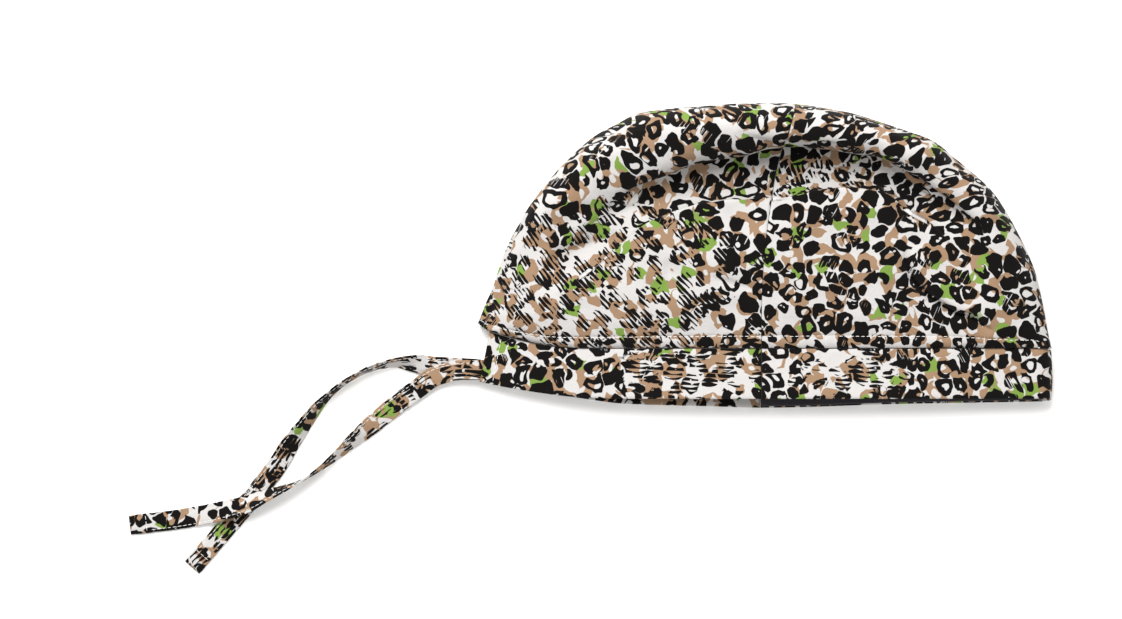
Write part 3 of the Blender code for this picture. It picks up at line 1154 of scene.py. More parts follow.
@dataclass
class Studio:
    """Camera straight over the cap, pale floor, and soft light from beyond the crown's top.

    Attributes:
        look_at: Plan point under the camera in mm.
        view_width: Width of the floor that the camera sees in mm.
        height: Height of the camera over the floor in mm.
        sensor: Width of the camera's sensor in mm.
        floor_reach: How far the floor goes from the middle, in metres.
        floor_drop: How far the floor lies under the lowest faces, in mm.
        air: Strength of the light that comes from all round.
    """

    look_at: tuple[float, float] = (-103.3, -27.2)
    view_width: float = 571.0
    height: float = 2200.0
    sensor: float = 36.0
    floor_reach: float = 4.0
    floor_drop: float = 0.3
    air: float = 0.66

    def place_camera(self) -> None:
        """Sets the camera that looks straight down, with the crown's top upwards in the picture."""
        data = bpy.data.cameras.new("studio_camera")
        data.sensor_width = self.sensor
        data.lens = self.sensor * self.height / self.view_width
        data.clip_end = 20.0
        camera = bpy.data.objects.new("studio_camera", data)
        camera.location = (self.look_at[0] * MM, self.look_at[1] * MM, self.height * MM)
        bpy.context.scene.collection.objects.link(camera)
        bpy.context.scene.camera = camera

    def lay_floor(self) -> None:
        """Lays the paper that the cap lies on, just under its lowest faces."""
        data = bpy.data.meshes.new("studio_floor")
        reach, low = self.floor_reach, -self.floor_drop * MM
        corners = [(-reach, -reach), (reach, -reach), (reach, reach), (-reach, reach)]
        data.from_pydata([(x, y, low) for x, y in corners], [], [(0, 1, 2, 3)])
        data.materials.append(MattPaper().make())
        floor = bpy.data.objects.new("studio_floor", data)
        bpy.context.scene.collection.objects.link(floor)

    def light(self) -> None:
        """Hangs a key light past the crown's top and a weak one opposite, and lights the air."""
        scene = bpy.context.scene
        scene.view_settings.view_transform = "Standard"
        world = bpy.data.worlds.new("studio_air")
        world.use_nodes = True
        air = world.node_tree.nodes["Background"]
        air.inputs["Color"].default_value = (1.0, 1.0, 1.0, 1.0)
        air.inputs["Strength"].default_value = self.air
        scene.world = world
        # Name, place and size in metres, and power in watts
        for name, place, size, power in (
            ("key_softbox", (-0.4, 1.05, 1.5), 1.2, 54.0),
            ("fill_softbox", (0.2, -1.3, 1.7), 2.0, 7.0),
        ):
            data = bpy.data.lights.new(name, "AREA")
            data.shape = "SQUARE"
            data.size = size
            data.energy = power
            lamp = bpy.data.objects.new(name, data)
            lamp.location = place
            aim = Vector((-0.05, -0.02, 0.0)) - Vector(place)
            lamp.rotation_euler = aim.to_track_quat("-Z", "Y").to_euler()
            scene.collection.objects.link(lamp)


# Sewing


@dataclass(frozen=True)
class SewingThread:
    """Lockstitch seams in sewing thread, seen as a row of short raised stitches.

    Attributes:
        stitch: Length of a stitch in mm.
        gap: Bare length between two stitches in mm.
        radius: Half the thread's thickness in mm.
        rise: How far a stitch's middle stands over the cloth in mm.
    """

    stitch: float = 2.25
    gap: float = 0.55
    radius: float = 0.17
    rise: float = 0.2

    def sew(self, name: str, runs: list, look: bpy.types.Material) -> bpy.types.Object:
        """Makes the stitches of some runs as one piece.

        Args:
            name: Name of the piece.
            runs: Pairs of a dense line in mm and its outward directions.
            look: The thread's material.

        Returns:
            The piece.
        """
        corners, faces, flat = [], [], []
        # Each stitch is a rod of six sides, bent over five rings of points
        sides, rings = 6, 5
        count = 0
        for line, outward in runs:
            lengths = run_lengths(line)
            total = int((lengths[-1] + self.gap) // (self.stitch + self.gap))
            spare = lengths[-1] - total * (self.stitch + self.gap) + self.gap
            for k in range(total):
                start = spare / 2 + k * (self.stitch + self.gap)
                t = np.linspace(0, 1, rings)
                at = start + t * self.stitch
                middle = read_line(lengths, line, at)
                up = unit(read_line(lengths, outward, at))
                run = unit(np.gradient(middle, axis=0))
                side = np.cross(run, up)
                middle = middle + up * (self.rise * (2.2 * np.sin(math.pi * t) - 1.0))[:, None]
                size = self.radius * (0.62 + 0.38 * np.sin(math.pi * t))
                for j in range(rings):
                    for i in range(sides):
                        turn = 2 * math.pi * i / sides
                        out = math.cos(turn) * side[j] + math.sin(turn) * up[j]
                        corners.append(middle[j] + out * size[j])
                        flat.append((at[j], i * 0.2))
                for j in range(rings - 1):
                    for i in range(sides):
                        a, b = count + j * sides, count + (j + 1) * sides
                        n = (i + 1) % sides
                        faces.append((a + i, a + n, b + n, b + i))
                faces.append(tuple(count + i for i in reversed(range(sides))))
                faces.append(tuple(count + (rings - 1) * sides + i for i in range(sides)))
                count += sides * rings
        data = bpy.data.meshes.new(name)
        data.from_pydata((np.array(corners) * MM).tolist(), [], faces)
        layer = data.uv_layers.new(name="flat_cloth")
        picks = np.zeros(len(data.loops), np.int32)
        data.loops.foreach_get("vertex_index", picks)
        spots = np.array(flat)[picks] / PRINT_UNIT
        layer.data.foreach_set("uv", spots.astype(np.float32).reshape(-1))
        data.polygons.foreach_set("use_smooth", np.ones(len(data.polygons), bool))
        data.materials.append(look)
        made = bpy.data.objects.new(name, data)
        bpy.context.scene.collection.objects.link(made)
        return made


# Ties


@dataclass
class FlatTie:
    """One flat tie: a strip folded to 10 mm, edge-stitched and hemmed at its free end.

    Attributes:
        name: Name of the piece.
        node: CAD node that it stands for.
        route: Its route from the band end.
        root: Plan points and lift in mm inside the band's end, before the route.
        cloth: Its finish.
        width: Width in mm.
        solid: Thickness in mm of the solid that sets the route's height.
        thickness: Thickness of the folded cloth in mm.
        hem: Length of the folded end in mm.
        rest: Least height of the tie's underside in mm.
        edge: Distance of the edge stitching from the edge in mm.
        seed: Seed of the tie's waviness.
        columns: How many points its middle line has.
    """

    name: str
    node: str
    route: tuple
    root: tuple
    cloth: LeopardPoplin
    seed: int
    width: float = 10.0
    solid: float = 1.6
    thickness: float = 1.25
    hem: float = 8.6
    rest: float = 0.1
    edge: float = 1.5
    columns: int = 240

    def frame(self) -> tuple:
        """Works out the tie's middle line.

        Returns:
            The middle points, the directions across and the outward directions, one row each.
        """
        rows = np.array([(r.x, r.y, r.lift, r.twist) for r in self.route], float)
        rows = np.vstack([np.array(self.root, float), rows])
        dense = smooth_route(rows)
        lengths = run_lengths(dense[:, :2])
        even = read_line(lengths, dense, np.linspace(0, lengths[-1], self.columns))
        twist = np.radians(even[:, 3])
        lift = np.maximum(even[:, 2], self.rest)
        half = self.width / 2
        rise = lift + half * abs(np.sin(twist)) + self.solid / 2 * abs(np.cos(twist))
        middle = np.column_stack([even[:, :2], rise])
        run = unit(np.gradient(middle, axis=0))
        level = unit(np.cross(run, [0.0, 0.0, 1.0]))
        upright = np.cross(level, run)
        across = np.cos(twist)[:, None] * level + np.sin(twist)[:, None] * upright
        return middle, across, np.cross(across, run)

    def build(self) -> bpy.types.Object:
        """Makes the tie's closed strip with a rounded edge and a thicker hemmed end.

        Returns:
            The piece.
        """
        middle, across, outward = self.frame()
        reach = run_lengths(middle)
        to_end = reach[-1] - reach
        share = 0.5 * (1 - np.cos(np.linspace(0, math.pi, 25)))
        swing = SmoothNoise(self.seed, 17.0)
        fine = SmoothNoise(self.seed + 1, 6.0)
        # The width wavers by 2.5%, and the hem is half as thick again
        half = self.width / 2 * (1 + 0.025 * fine.at(reach, 0 * reach))
        hemmed = 1 / (1 + np.exp((to_end - self.hem) * 2.4))
        thick = self.thickness * (1 + 0.5 * hemmed)
        # The strip's own ends are pinched round over half a millimetre
        pinch = np.sqrt(np.clip(1 - (1 - np.clip(to_end / 0.7, 0, 1)) ** 2, 0, 1))
        pinch *= np.sqrt(np.clip(1 - (1 - np.clip(reach / 0.7, 0, 1)) ** 2, 0, 1))
        edge = np.sqrt(np.clip(1 - np.abs(2 * share - 1) ** 7, 0, 1))
        # Stitching pulls the cloth in along both edges
        sunk = np.exp(-((share * self.width - self.edge) / 0.7) ** 2)
        sunk += np.exp(-(((1 - share) * self.width - self.edge) / 0.7) ** 2)
        height = thick[:, None] / 2 * pinch[:, None] * edge * (1 - 0.3 * sunk)
        side = (2 * share - 1)[None, :] * half[:, None]
        base = middle[:, None, :] + across[:, None, :] * side[:, :, None]
        puff = 0.16 * swing.at(reach[:, None], side * 1.6)
        puff = puff + 0.07 * fine.at(reach[:, None], side)
        upper = base + outward[:, None, :] * (height + puff * pinch[:, None])[:, :, None]
        lower = base - outward[:, None, :] * (height - puff * pinch[:, None])[:, :, None]
        points = np.concatenate([upper, lower[:, ::-1][:, 1:-1]], axis=1)
        points[..., 2] = np.maximum(points[..., 2], 0.0)
        spans = np.concatenate([share * self.width, (1 + share)[1:] * self.width])
        flat = np.stack(np.broadcast_arrays(reach[:, None], spans[None, :]), axis=-1)
        piece = cloth_object(self.name, points, flat, [self.cloth.make()], closed=True)
        self.path = middle
        self.lines = self.stitch_lines(middle, across, outward, thick, reach)
        return piece

    def stitch_lines(
        self,
        middle: np.ndarray,
        across: np.ndarray,
        outward: np.ndarray,
        thick: np.ndarray,
        reach: np.ndarray,
    ) -> list:
        """Gives the seams of the tie: one along an edge on both faces, and one over the hem.

        Args:
            middle: Middle points.
            across: Directions across.
            outward: Outward directions.
            thick: Thickness at each point.
            reach: Length reached at each point.

        Returns:
            Pairs of a line and its outward directions.
        """
        runs = []
        body = slice(8, int(np.searchsorted(reach, reach[-1] - self.hem)) - 1)
        inset = self.width / 2 - self.edge
        for face in (1.0, -1.0):
            up = outward * face
            line = middle + across * inset + up * (thick[:, None] / 2 * 0.72)
            runs.append((line[body], up[body]))
        last = int(np.searchsorted(reach, reach[-1] - self.hem))
        for face in (1.0, -1.0):
            up = outward[last] * face
            ends = [middle[last] + across[last] * s * (inset + 0.6) for s in (-1.0, 1.0)]
            line = np.linspace(ends[0], ends[1], 12) + up * (thick[last] / 2 * 0.95)
            runs.append((line, np.repeat(up[None, :], 12, axis=0)))
        return runs

    def dress(self, thread: bpy.types.Material) -> None:
        """Args:
            thread: The thread's material.
        """
        piece = self.build()
        sewn = SewingThread(stitch=2.1, radius=0.15, rise=0.1).sew(
            f"{self.name}_stitches", self.lines, thread
        )
        for part in (piece, sewn):
            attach(part, BODY)
            report_piece(part)
        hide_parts(self.node)
        path = self.path[:: max(1, self.columns // 36)]
        path = np.vstack([path, self.path[-1:]]) * MM


# Cap


@dataclass(frozen=True)
class CapPlan:
    """Sizes of the flattened cap in mm, and its lines in plan.

    Attributes:
        half_length: Half the length of the crown from back to forehead.
        crown_rise: How far the crown's top stands over the band's free edge.
        band_width: Width of the band.
        far_slip: How far the resting wall lies past the near one, at most.
        roll_height: Height of the roll of cloth at the crown's top.
        band_height: Height of the near band's outer face, at most.
        mouth_lift: How far the near band's free edge is raised, at most.
        forehead_turn: Place where the front band turns round the forehead.
        side_seam_x: Place where the ear-to-ear seam meets the band.
        side_seam_along: Share of the crown's outline where that seam starts.
        side_seam_bow: How far that seam bows to the back.
        back_seam_x: Place where the band seam ends at the centre back.
        back_seam_rise: How far the band seam rises towards there.
        back_seam_reach: Length over which it rises.
        band_end_x: Place where the band's free edge ends at the centre back.
        mouth_back_rise: How far the free edge rises towards there.
        mouth_back_reach: Length over which it rises.
        sewn_gap: Width of the line that a sewn seam leaves open to the eye.
    """

    half_length: float = 145.5
    crown_rise: float = 124.0
    band_width: float = 25.5
    far_slip: float = 4.8
    roll_height: float = 34.0
    band_height: float = 16.0
    mouth_lift: float = 2.5
    forehead_turn: float = 138.5
    side_seam_x: float = -2.0
    side_seam_along: float = 0.525
    side_seam_bow: float = 6.0
    back_seam_x: float = -139.5
    back_seam_rise: float = 8.5
    back_seam_reach: float = 50.0
    band_end_x: float = -144.6
    mouth_back_rise: float = 8.5
    mouth_back_reach: float = 75.0
    sewn_gap: float = 0.3

    @property
    def seam_y(self) -> float:
        """Gives the band seam's line where it is straight."""
        return (self.band_width + self.far_slip - self.crown_rise) / 2

    def outline(self, along: np.ndarray) -> np.ndarray:
        """Gives the crown's outline in plan at shares of its length."""
        rows = np.array(
            [
                (r.reach * self.half_length, self.seam_y + r.rise * self.crown_rise)
                for r in CROWN_OUTLINE
            ]
        )
        dense = smooth_route(rows)
        lengths = run_lengths(dense)
        return read_line(lengths, dense, np.asarray(along) * lengths[-1])

    def seam_line(self, x: np.ndarray) -> np.ndarray:
        """Gives the band seam in plan, which rises towards the centre back."""
        gone = (np.maximum(x, self.back_seam_x) - self.back_seam_x) / self.back_seam_reach
        return self.seam_y + self.back_seam_rise * np.maximum(0, 1 - gone) ** 2

    def mouth_line(self, x: np.ndarray) -> np.ndarray:
        """Gives the near band's free edge in plan."""
        gone = (np.maximum(x, self.band_end_x) - self.band_end_x) / self.mouth_back_reach
        rise = self.mouth_back_rise * np.maximum(0, 1 - gone) ** 2
        return self.seam_y - self.band_width + rise

    def near_height(self, x: np.ndarray) -> np.ndarray:
        """Gives the height of the near band's outer face."""
        return self.band_height * table_at(BAND_SHAPE, "reach", "height", x / self.forehead_turn)

    def slip(self, x: np.ndarray) -> np.ndarray:
        """Gives how far the resting wall lies past the near one."""
        return self.far_slip * table_at(BAND_SHAPE, "reach", "slip", x / self.forehead_turn)

    def lift(self, x: np.ndarray) -> np.ndarray:
        """Gives how far the near band's free edge is raised."""
        return self.mouth_lift * table_at(BAND_SHAPE, "reach", "lift", x / self.forehead_turn)

    def seam_x(self, along: np.ndarray) -> np.ndarray:
        """Gives where crown columns meet the seam."""
        back = self.back_seam_x + along / self.side_seam_along * (
            self.side_seam_x - self.back_seam_x
        )
        front = self.side_seam_x + (along - self.side_seam_along) / (
            1 - self.side_seam_along
        ) * (self.forehead_turn - self.side_seam_x)
        return np.where(along <= self.side_seam_along, back, front)

    def crown_plan(self, along: np.ndarray, across: np.ndarray, slips: bool) -> np.ndarray:
        """Gives crown points in plan.

        Args:
            along: One share of the outline for each column.
            across: Shares from the outline to the seam, a column in each row.
            slips: Whether it is the resting wall.

        Returns:
            Plan points, columns by rows.
        """
        rim = self.outline(along)[:, None, :]
        x = self.seam_x(along)
        y = self.seam_line(x) + self.sewn_gap / 2 - (self.slip(x) if slips else 0.0)
        seam = np.stack([x, y], axis=-1)[:, None, :]
        points = rim + (seam - rim) * across[..., None]
        bow = self.side_seam_bow * 4 * (along * (1 - along))[:, None]
        points[..., 0] -= bow * np.sin(math.pi * across)
        return points


@dataclass(frozen=True)
class Crease:
    """One fold line on the near wall.

    Attributes:
        line: Plan points in mm.
        depth: How far it is pressed in, in mm; a raised pleat is below zero.
        width: Half its width in mm.
        fall: How far the cloth drops from the line's left to its right, in mm.
    """

    line: tuple
    depth: float
    width: float
    fall: float = 0.0

    def press(self, x: np.ndarray, y: np.ndarray) -> np.ndarray:
        """Gives how far the crease moves places outwards in mm."""
        line = smooth_route(np.array(self.line, float), 6)
        gap, share = distance_to_line(x, y, line)
        fade = np.clip(np.sin(math.pi * np.clip(share, 0, 1)), 0, 1) ** 0.6
        pressed = -self.depth * np.exp(-((abs(gap) / self.width) ** 1.25))
        dropped = self.fall / 2 * np.tanh(gap / 0.8) * np.exp(-abs(gap) / 12.0)
        return fade * (pressed + dropped)


# Folds seen on the near wall, from the crown's roll down to the band seam
CROWN_CREASES = (
    Crease(((-15.8, 61.6), (-2.0, 58.0), (12.2, 56.5), (32.1, 56.0), (47.3, 52.5)), 2.2, 1.2, 1.6),
    Crease(
        ((-5.6, 40.2), (19.3, 42.8), (32.1, 43.8), (44.8, 40.7), (52.9, 36.1), (69.2, 26.0)),
        -1.9,
        2.0,
    ),
    Crease(((54.5, 50.0), (69.2, 39.0), (83.0, 29.5), (98.2, 20.5), (110.0, 12.0)), 3.0, 1.4, 2.4),
    Crease(
        ((70.8, 4.0), (72.3, -7.1), (78.4, -16.3), (94.2, -28.5), (103.3, -31.0), (114.5, -38.2)),
        6.0,
        1.5,
        4.4,
    ),
    Crease(((62.0, 8.0), (66.0, -6.0), (72.0, -18.0), (84.0, -30.0)), -1.3, 3.4),
    Crease(((-29.0, -9.7), (-18.0, -13.0), (-5.6, -16.3)), 1.2, 2.8, 1.6),
    Crease(((-49.9, -2.5), (-49.5, -11.0), (-47.8, -19.3)), 1.2, 3.0),
    Crease(((-92.0, 28.0), (-78.0, 24.0), (-62.0, 27.0), (-48.0, 31.0)), 0.8, 3.0, 1.4),
    Crease(((-101.0, 2.0), (-86.0, 8.0), (-70.0, 13.0)), 0.9, 3.0, 1.6),
    Crease(((-118.0, -20.0), (-104.0, -12.0), (-90.0, -8.0)), 0.6, 4.0),
    Crease(((20.0, 24.0), (24.0, 10.0), (22.0, -4.0)), 0.5, 4.0),
    Crease(((-20.0, 24.0), (-14.0, 12.0), (-6.0, 4.0)), 0.6, 3.0),
)


@dataclass
class CrownPanel:
    """One crown panel: near wall with its roll and folds, and the wall that it lies on.

    Attributes:
        plan: The cap's sizes.
        name: Name of the piece.
        node: CAD node that it stands for.
        start: Share of the outline where the panel starts.
        end: Share of the outline where it ends.
        cloth: Its finish.
        flat: Width and length of the cut in mm; not used.
        area: Area of the cut in square mm; not used.
        thickness: Thickness of the cloth in mm.
        step: Usual distance between columns in mm.
        stitching: Distance of the topstitching from the band seam in mm.
        lines: Lines of its stitching, known once it is built.
    """

    plan: CapPlan
    name: str
    node: str
    start: float
    end: float
    cloth: LeopardPoplin
    flat: tuple[float, float]
    area: float
    thickness: float = 0.9
    step: float = 1.25
    stitching: float = 6.4
    lines: list = field(default_factory=list)

    def column_places(self) -> np.ndarray:
        """Gives the shares of the outline for the columns, closer together at the side seam."""
        span = abs(self.end - self.start)
        outline = self.plan.outline(np.linspace(self.start, self.end, 200))
        length = run_lengths(outline)[-1]
        even = np.linspace(0, 1, int(length / self.step))
        # Places in mm from the side seam, whose edges are turned in
        fine = np.array([0.35, 0.75, 1.2, 1.8, 2.6]) / length
        seam_first = abs(self.start - self.plan.side_seam_along) < 0.01
        places = np.unique(np.concatenate([even, fine if seam_first else 1 - fine]))
        least_step = 0.25
        keep = np.concatenate([[True], np.diff(places) > least_step / length])
        return self.start + span * places[keep]

    def section(self, along: np.ndarray) -> tuple:
        """Works out the near wall's section for each column.

        Args:
            along: One share of the outline for each column.

        Returns:
            Shares from the outline to the seam and heights in mm, both columns by rows and
            starting at the outline, and the plan length of each column.
        """
        plan = self.plan
        row = {
            name: table_at(CROWN_SECTIONS, "along", name, along)[:, None]
            for name in SectionRow._fields[1:]
        }
        ends = plan.crown_plan(along, np.array([[0.0, 1.0]] * len(along)), False)
        length = np.linalg.norm(ends[:, 1] - ends[:, 0], axis=-1)[:, None]
        high = plan.roll_height
        rim, top, lip = row["rim"] * high, row["top"] * high, row["lip"] * high
        valley, ridge = row["valley"] * high, row["ridge"] * high
        seam = plan.near_height(plan.seam_x(along))[:, None]
        top_d, lip_d = row["top_at"] * length, row["lip_at"] * length
        valley_d, ridge_d = row["valley_at"] * length, row["ridge_at"] * length
        places, heights = [], []
        turn = np.linspace(0, math.pi / 2, 23)[None, :]
        # From the outline up and over the roll
        places.append(top_d * (1 - np.cos(turn)))
        heights.append(rim + (top - rim) * np.sin(turn))
        # Where the roll has a lip it hangs over the valley; towards its ends it runs out flat
        hang = np.clip(row["tuck"] / 1.4, 0, 1)
        t = np.linspace(0, 1, 17)[None, 1:]
        places.append(top_d + (lip_d - top_d) * (hang * np.sin(t * math.pi / 2) + (1 - hang) * t))
        drop = hang * np.cos(t * math.pi / 2) + (1 - hang) * (1 + np.cos(t * math.pi)) / 2
        heights.append(lip + (top - lip) * drop)
        # From the lip back under the roll and down into the valley
        t = np.linspace(0, 1, 19)[None, 1:]
        run = valley_d - lip_d
        start = hang * (lip_d - row["tuck"] * 2.6) + (1 - hang) * (lip_d + 0.4 * run)
        places.append(bent(t, lip_d, start, valley_d - 0.45 * run, valley_d))
        under = lip - 0.6 * hang * (lip - valley)
        heights.append(bent(t, lip, under, valley, valley))
        t = np.linspace(0, 1, 19)[None, 1:]
        run = ridge_d - valley_d
        # The fold below the valley has a sharp edge where it stands well over the valley
        crisp = np.clip((ridge - valley) / (0.16 * high), 0, 1)
        foot = valley_d + (0.4 + 0.32 * crisp) * run
        brow = ridge_d - (0.2 - 0.34 * crisp) * run
        places.append(bent(t, valley_d, foot, brow, ridge_d))
        brow = ridge - (0.22 + 0.28 * crisp) * (ridge - valley)
        heights.append(bent(t, valley, valley, brow, ridge))
        # From the ridge down to the band seam, with rows closer together near the seam
        t = np.concatenate([np.linspace(0, 0.86, 54)[1:], np.linspace(0.86, 1, 24)[1:]])
        t = t[None, :]
        places.append(ridge_d + (length - ridge_d) * t)
        heights.append(ridge + (seam - ridge) * t ** 2.6)
        across = np.concatenate(places, axis=1) / length
        return across, np.concatenate(heights, axis=1), length

    def near_wall(self, along: np.ndarray) -> np.ndarray:
        """Gives the near wall's points, from the seam up to the outline."""
        across, heights, _ = self.section(along)
        points = np.dstack([self.plan.crown_plan(along, across, False), heights])
        return points[:, ::-1]

    def far_wall(self, along: np.ndarray) -> np.ndarray:
        """Gives the resting wall's points, from just past the outline to its seam."""
        rim = table_at(CROWN_SECTIONS, "along", "rim", along)[:, None] * self.plan.roll_height
        turn = np.clip(1.3 * table_at(CROWN_SECTIONS, "along", "top_at", along), 0.1, 0.8)
        turn = turn[:, None]
        t = np.linspace(0, math.pi / 2, 14)[None, 1:]
        across = [turn * (1 - np.cos(t))]
        heights = [rim * (1 - np.sin(t))]
        t = np.linspace(0, 1, 27)[None, 1:]
        across.append(turn + (1 - turn) * t)
        heights.append(np.zeros((len(along), 26)))
        across = np.concatenate(across, axis=1)
        return np.dstack([self.plan.crown_plan(along, across, True), np.concatenate(heights, 1)])

    def unevenness(self, points: np.ndarray, to_seam: np.ndarray) -> np.ndarray:
        """Gives how far each near point is moved outwards: folds, puckers and turned edges.

        Args:
            points: Near-wall points, columns by rows.
            to_seam: Length along the cloth from the band seam in mm.

        Returns:
            The moves in mm.
        """
        x, y = points[..., 0], points[..., 1]
        out = np.zeros(x.shape)
        for crease in CROWN_CREASES:
            out += crease.press(x, y)
        open_cloth = 1 - np.exp(-((to_seam / 14) ** 2))
        out += 1.1 * SmoothNoise(11, 36.0, 1.6, 20.0).at(x, y) * open_cloth
        out += 0.42 * SmoothNoise(12, 14.0, 1.8, -35.0).at(x, y) * open_cloth
        roll = np.clip((y - 40.0) / 15.0, 0, 1)
        out += 0.45 * SmoothNoise(13, 17.0, 2.2, 80.0).at(x, y) * roll
        # Sewing gathers the cloth a little along the band seam
        pucker = SmoothNoise(14, 7.5, 3.0, 90.0).at(x, to_seam)
        out += 0.34 * pucker * np.exp(-(((to_seam - 4.0) / 6.5) ** 2))
        out += 0.55 * np.exp(-(((to_seam - 3.0) / 2.4) ** 2))
        out -= 0.4 * np.exp(-(((to_seam - self.stitching) / 0.8) ** 2))
        out -= 0.3 * np.exp(-((to_seam / 0.7) ** 2))
        # The ear-to-ear seam: edges turned in, with the spare cloth pressed to the back
        seam_places = np.linspace(0.0, 1.0, 40)[None, :]
        seam = self.plan.crown_plan(np.array([self.plan.side_seam_along]), seam_places, False)[0]
        gap = abs(distance_to_line(x, y, seam)[0])
        behind = self.end <= self.plan.side_seam_along
        if behind:
            out += 0.35 / (1 + np.exp((gap - 7.0) * 1.6))
        out += 0.2 * np.exp(-(((gap - 1.7) / 1.2) ** 2))
        out -= 0.35 * np.exp(-((gap / 0.7) ** 2))
        pucker = SmoothNoise(15, 8.0, 2.5, 0.0).at(x, y)
        out += 0.22 * pucker * np.exp(-((gap / 7.0) ** 2))
        return out

    def build(self) -> bpy.types.Object:
        """Makes the panel as one sheet of cloth and gives it its thickness.

        Returns:
            The piece.
        """
        along = self.column_places()
        near, far = self.near_wall(along), self.far_wall(along)
        whole = np.concatenate([near, far], axis=1)
        flat = self.flat_places(along, whole)
        to_seam = run_lengths(near)
        outward = grid_normals(whole)
        rows = near.shape[1]
        moves = np.zeros(whole.shape[:2])
        fade = np.clip(np.arange(rows)[::-1] / 6.0, 0, 1)[None, :]
        moves[:, :rows] = self.unevenness(near, to_seam) * fade
        whole = whole + outward * moves[..., None]
        # The resting wall only ever rises off the surface
        far_xy = whole[:, rows:, :2]
        loose = np.clip(np.arange(far.shape[1]) / 12.0, 0, 1)[None, :]
        ripple = SmoothNoise(16, 26.0).at(far_xy[..., 0], far_xy[..., 1])
        whole[:, rows:, 2] += np.clip(0.5 * ripple, 0, 1) * loose
        whole[..., 2] = np.maximum(whole[..., 2], 0.0)
        looks = [self.cloth.make(), self.cloth.make(ClothFace.REVERSE)]
        piece = cloth_object(self.name, whole, flat, looks)
        shell = piece.modifiers.new("cloth_thickness", "SOLIDIFY")
        shell.thickness = self.thickness * MM
        shell.offset = -1.0
        shell.material_offset = 1
        self.lines = self.stitch_lines(whole, rows)
        return piece

    def flat_places(self, along: np.ndarray, whole: np.ndarray) -> np.ndarray:
        """Spreads the panel out flat from the band seam, for the print."""
        lengths = run_lengths(whole)
        x = self.plan.seam_x(along)
        rim = self.plan.outline(along)
        seam = np.stack([x, self.plan.seam_line(x)], axis=-1)
        way = unit(rim - seam)
        start = np.stack([x, np.zeros(len(x))], axis=-1)
        return start[:, None, :] + way[:, None, :] * lengths[..., None]

    def stitch_lines(self, whole: np.ndarray, rows: int) -> list:
        """Gives the topstitching along the band seam on both walls.

        Args:
            whole: The panel's points.
            rows: How many rows the near wall has.

        Returns:
            Pairs of a line and its outward directions.
        """
        # Columns shorter than this, at the panel's corners, carry no stitches
        shortest = 16.0
        outward = grid_normals(whole)
        runs = []
        for points, ways in (
            (whole[:, :rows], outward[:, :rows]),
            (whole[:, rows:][:, ::-1], outward[:, rows:][:, ::-1]),
        ):
            line, up = [], []
            for column, way in zip(points, ways):
                lengths = run_lengths(column)
                if lengths[-1] < shortest:
                    continue
                at = np.array([self.stitching])
                line.append(read_line(lengths, column, at)[0])
                up.append(read_line(lengths, way, at)[0])
            runs.append((np.array(line), unit(np.array(up))))
        return runs

    def dress(self, thread: bpy.types.Material) -> None:
        """Args:
            thread: The thread's material.
        """
        piece = self.build()
        sewn = SewingThread().sew(f"{self.name}_topstitching", self.lines, thread)
        for part in (piece, sewn):
            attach(part, BODY)
            report_piece(part)
        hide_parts(self.node)


